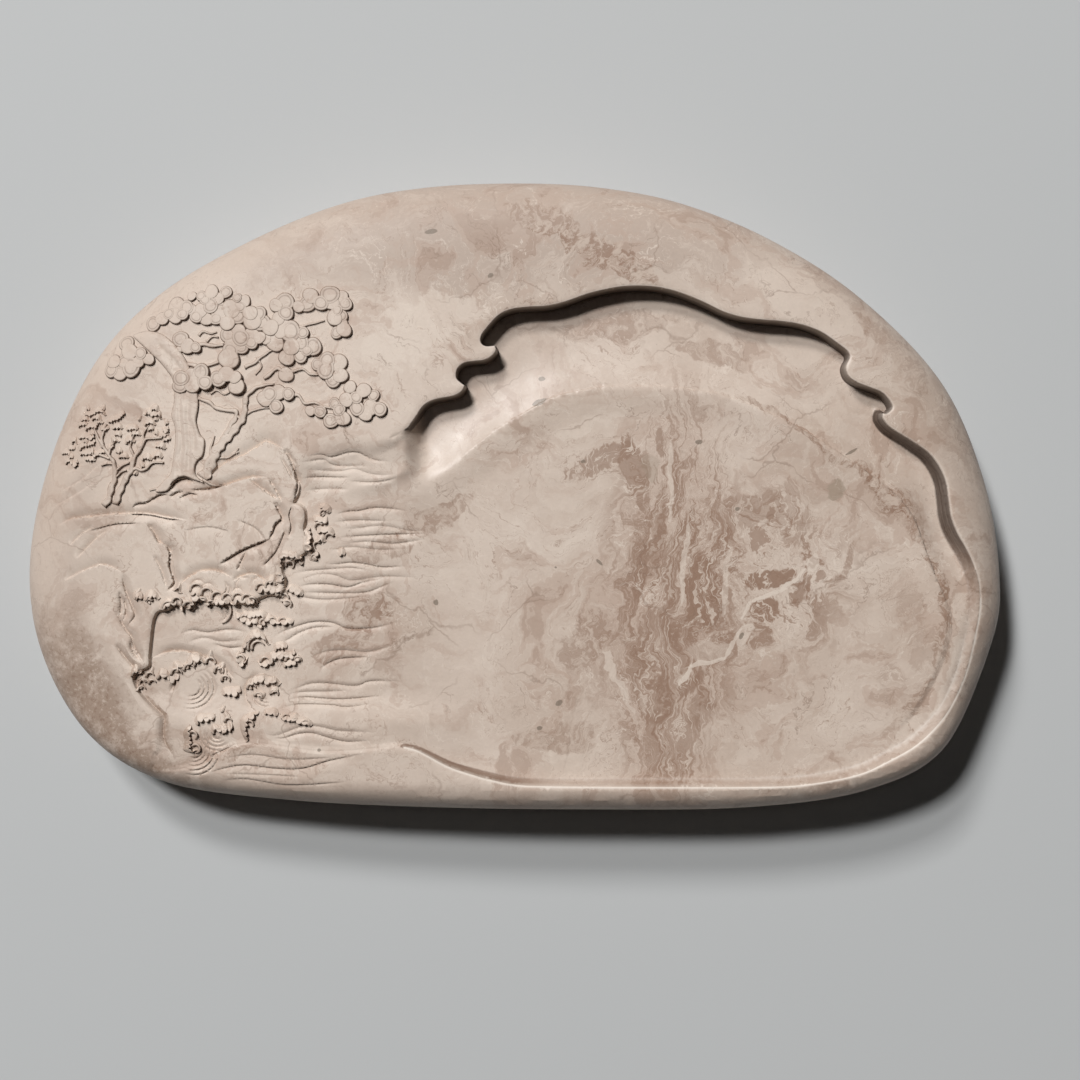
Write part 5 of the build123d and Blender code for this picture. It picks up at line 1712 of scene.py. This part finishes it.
    # Walls of the hollow that face the bank above are darkened: near black on the walls of the
    # pool, where it is painted shade with ink stain, and stained brown on the lower walls
    wall_shade_and_stain = g.ramp(g.node("Attribute", attribute_name="wall_shade_and_stain").outputs["Fac"], 0.0, 0.7)
    keeps = g.math("MAXIMUM", g.ramp(y_axis, -32.0, -8.0), g.ramp(x_axis, 14.0, -4.0))
    wall_shade_and_stain = g.math("MULTIPLY", wall_shade_and_stain, g.math("MULTIPLY_ADD", keeps, 0.6, 0.4))
    tone = g.blend(g.ramp(y_axis, -34.0, -2.0), WALL, POOL_SHADE_INK)
    ink_and_shade = g.noise(g.vector("MULTIPLY", ragged, (0.08, 0.08, 1.6)), 1.0, 3, 0.6)
    wall_shade_and_stain = g.math("MULTIPLY", wall_shade_and_stain, g.math("MULTIPLY_ADD", ink_and_shade, 0.5, 0.6), clamp=True)
    colour = g.blend(wall_shade_and_stain, colour, tone)

    # Painted shade: thin dark outlines round the raised motifs, under their edges and in the rings
    # of the coins
    grime = g.node("Attribute", attribute_name="grime").outputs["Fac"]
    colour = g.paint(colour, CREVICE_SHADE, grime, 0.75)
    # Painted highlight: a pale band along the arris of the rim and the toe of the lower wall
    arris_highlight = g.node("Attribute", attribute_name="arris_highlight").outputs["Fac"]
    colour = g.paint(colour, ARRIS_GLINT, arris_highlight, 0.85)

    spotted = g.vector("ADD", where, g.vector("MULTIPLY", curl, (2.2, 2.2, 0)))
    for spot in SPOTS:
        colour = g.paint(colour, MARK, g.patch(spotted, *spot, SPOT_STRENGTH, torn))

    grain = g.noise(where, 1.3, 4, 0.7)
    dust = g.noise(where, 0.5, 3, 0.6)
    value = g.math("ADD", g.math("MULTIPLY", grain, 0.16), g.math("MULTIPLY", dust, 0.08))
    bright = g.node("HueSaturation")
    g.feed(bright.inputs["Value"], g.math("ADD", value, 0.88))
    g.feed(bright.inputs["Color"], colour)
    g.feed(g.shader.inputs["Base Color"], bright.outputs[0])
    polished = g.blot(where, 45, -15, 84, 62, 0, 0.12)
    dull = g.math("MULTIPLY_ADD", polished, -0.16, 0.46)
    roughness = g.math("MULTIPLY_ADD", g.noise(where, 0.25, 4, 0.6), 0.22, dull)
    g.feed(g.shader.inputs["Roughness"], roughness)
    g.feed(g.shader.inputs["Specular IOR Level"], SPECULAR)
    bump = g.node("Bump")
    scratches = g.noise(g.vector("MULTIPLY", ragged, (0.12, 0.9, 0.5)), 1.0, 3, 0.6)
    g.feed(bump.inputs["Height"], g.math("ADD", grain, g.math("MULTIPLY", scratches, 0.7)))
    g.feed(bump.inputs["Distance"], BUMP_DEPTH * MM)
    g.feed(bump.inputs["Strength"], BUMP_STRENGTH)
    g.feed(g.shader.inputs["Normal"], bump.outputs[0])
    return g.material


stone = stone_material()
for piece in pieces:
    piece.data.materials.clear()
    piece.data.materials.append(stone)
    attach(piece, "root")


# -------------------------------------------------------- floor, light, camera
# Places and sizes here are in metres, light power in watts.
FLOOR_SIZE = 4.0
FLOOR_COLOUR = (0.58, 0.59, 0.59, 1)
FLOOR_ROUGHNESS = 0.9
# Name, place, size and power of each square light
LIGHTS = [
    ("key_high", (-1.2, 1.42, 3.0), 0.42, 73), ("key_low", (-1.25, 2.38, 2.85), 0.6, 66),
    ("sheen", (-0.2, 0.28, 1.9), 0.3, 0.5),
]
LIT_POINT = Vector((0, 0, 0.03))
SKY_COLOUR = (0.9, 0.95, 1.0, 1)
SKY_STRENGTH = 0.005
CAMERA_PLACE = (0.0072, -0.0115, 0.484)
CAMERA_LENS = 58
SENSOR_WIDTH = 36

bpy.ops.mesh.primitive_plane_add(size=FLOOR_SIZE, location=(0, 0, 0))
floor = bpy.context.object
floor.name = "studio_floor"
floor_material = bpy.data.materials.new("floor")
floor_material.use_nodes = True
floor_shader = floor_material.node_tree.nodes["Principled BSDF"]
floor_shader.inputs["Base Color"].default_value = FLOOR_COLOUR
floor_shader.inputs["Roughness"].default_value = FLOOR_ROUGHNESS
floor.data.materials.append(floor_material)

for name, place, size, power in LIGHTS:
    light = bpy.data.lights.new(name, "AREA")
    light.energy = power
    light.shape = "RECTANGLE"
    light.size = light.size_y = size
    lamp = bpy.data.objects.new(name, light)
    bpy.context.scene.collection.objects.link(lamp)
    lamp.location = place
    lamp.rotation_mode = "QUATERNION"
    lamp.rotation_quaternion = (LIT_POINT - Vector(place)).to_track_quat("-Z", "Y")

world = bpy.data.worlds.new("studio")
bpy.context.scene.world = world
world.use_nodes = True
sky = world.node_tree.nodes["Background"]
sky.inputs["Color"].default_value = SKY_COLOUR
sky.inputs["Strength"].default_value = SKY_STRENGTH

camera_data = bpy.data.cameras.new("camera")
camera_data.sensor_width = SENSOR_WIDTH
camera_data.lens = CAMERA_LENS
camera = bpy.data.objects.new("camera", camera_data)
bpy.context.scene.collection.objects.link(camera)
camera.location = CAMERA_PLACE
camera.rotation_euler = (0, 0, 0)
bpy.context.scene.camera = camera
bpy.context.scene.view_settings.view_transform = "Standard"
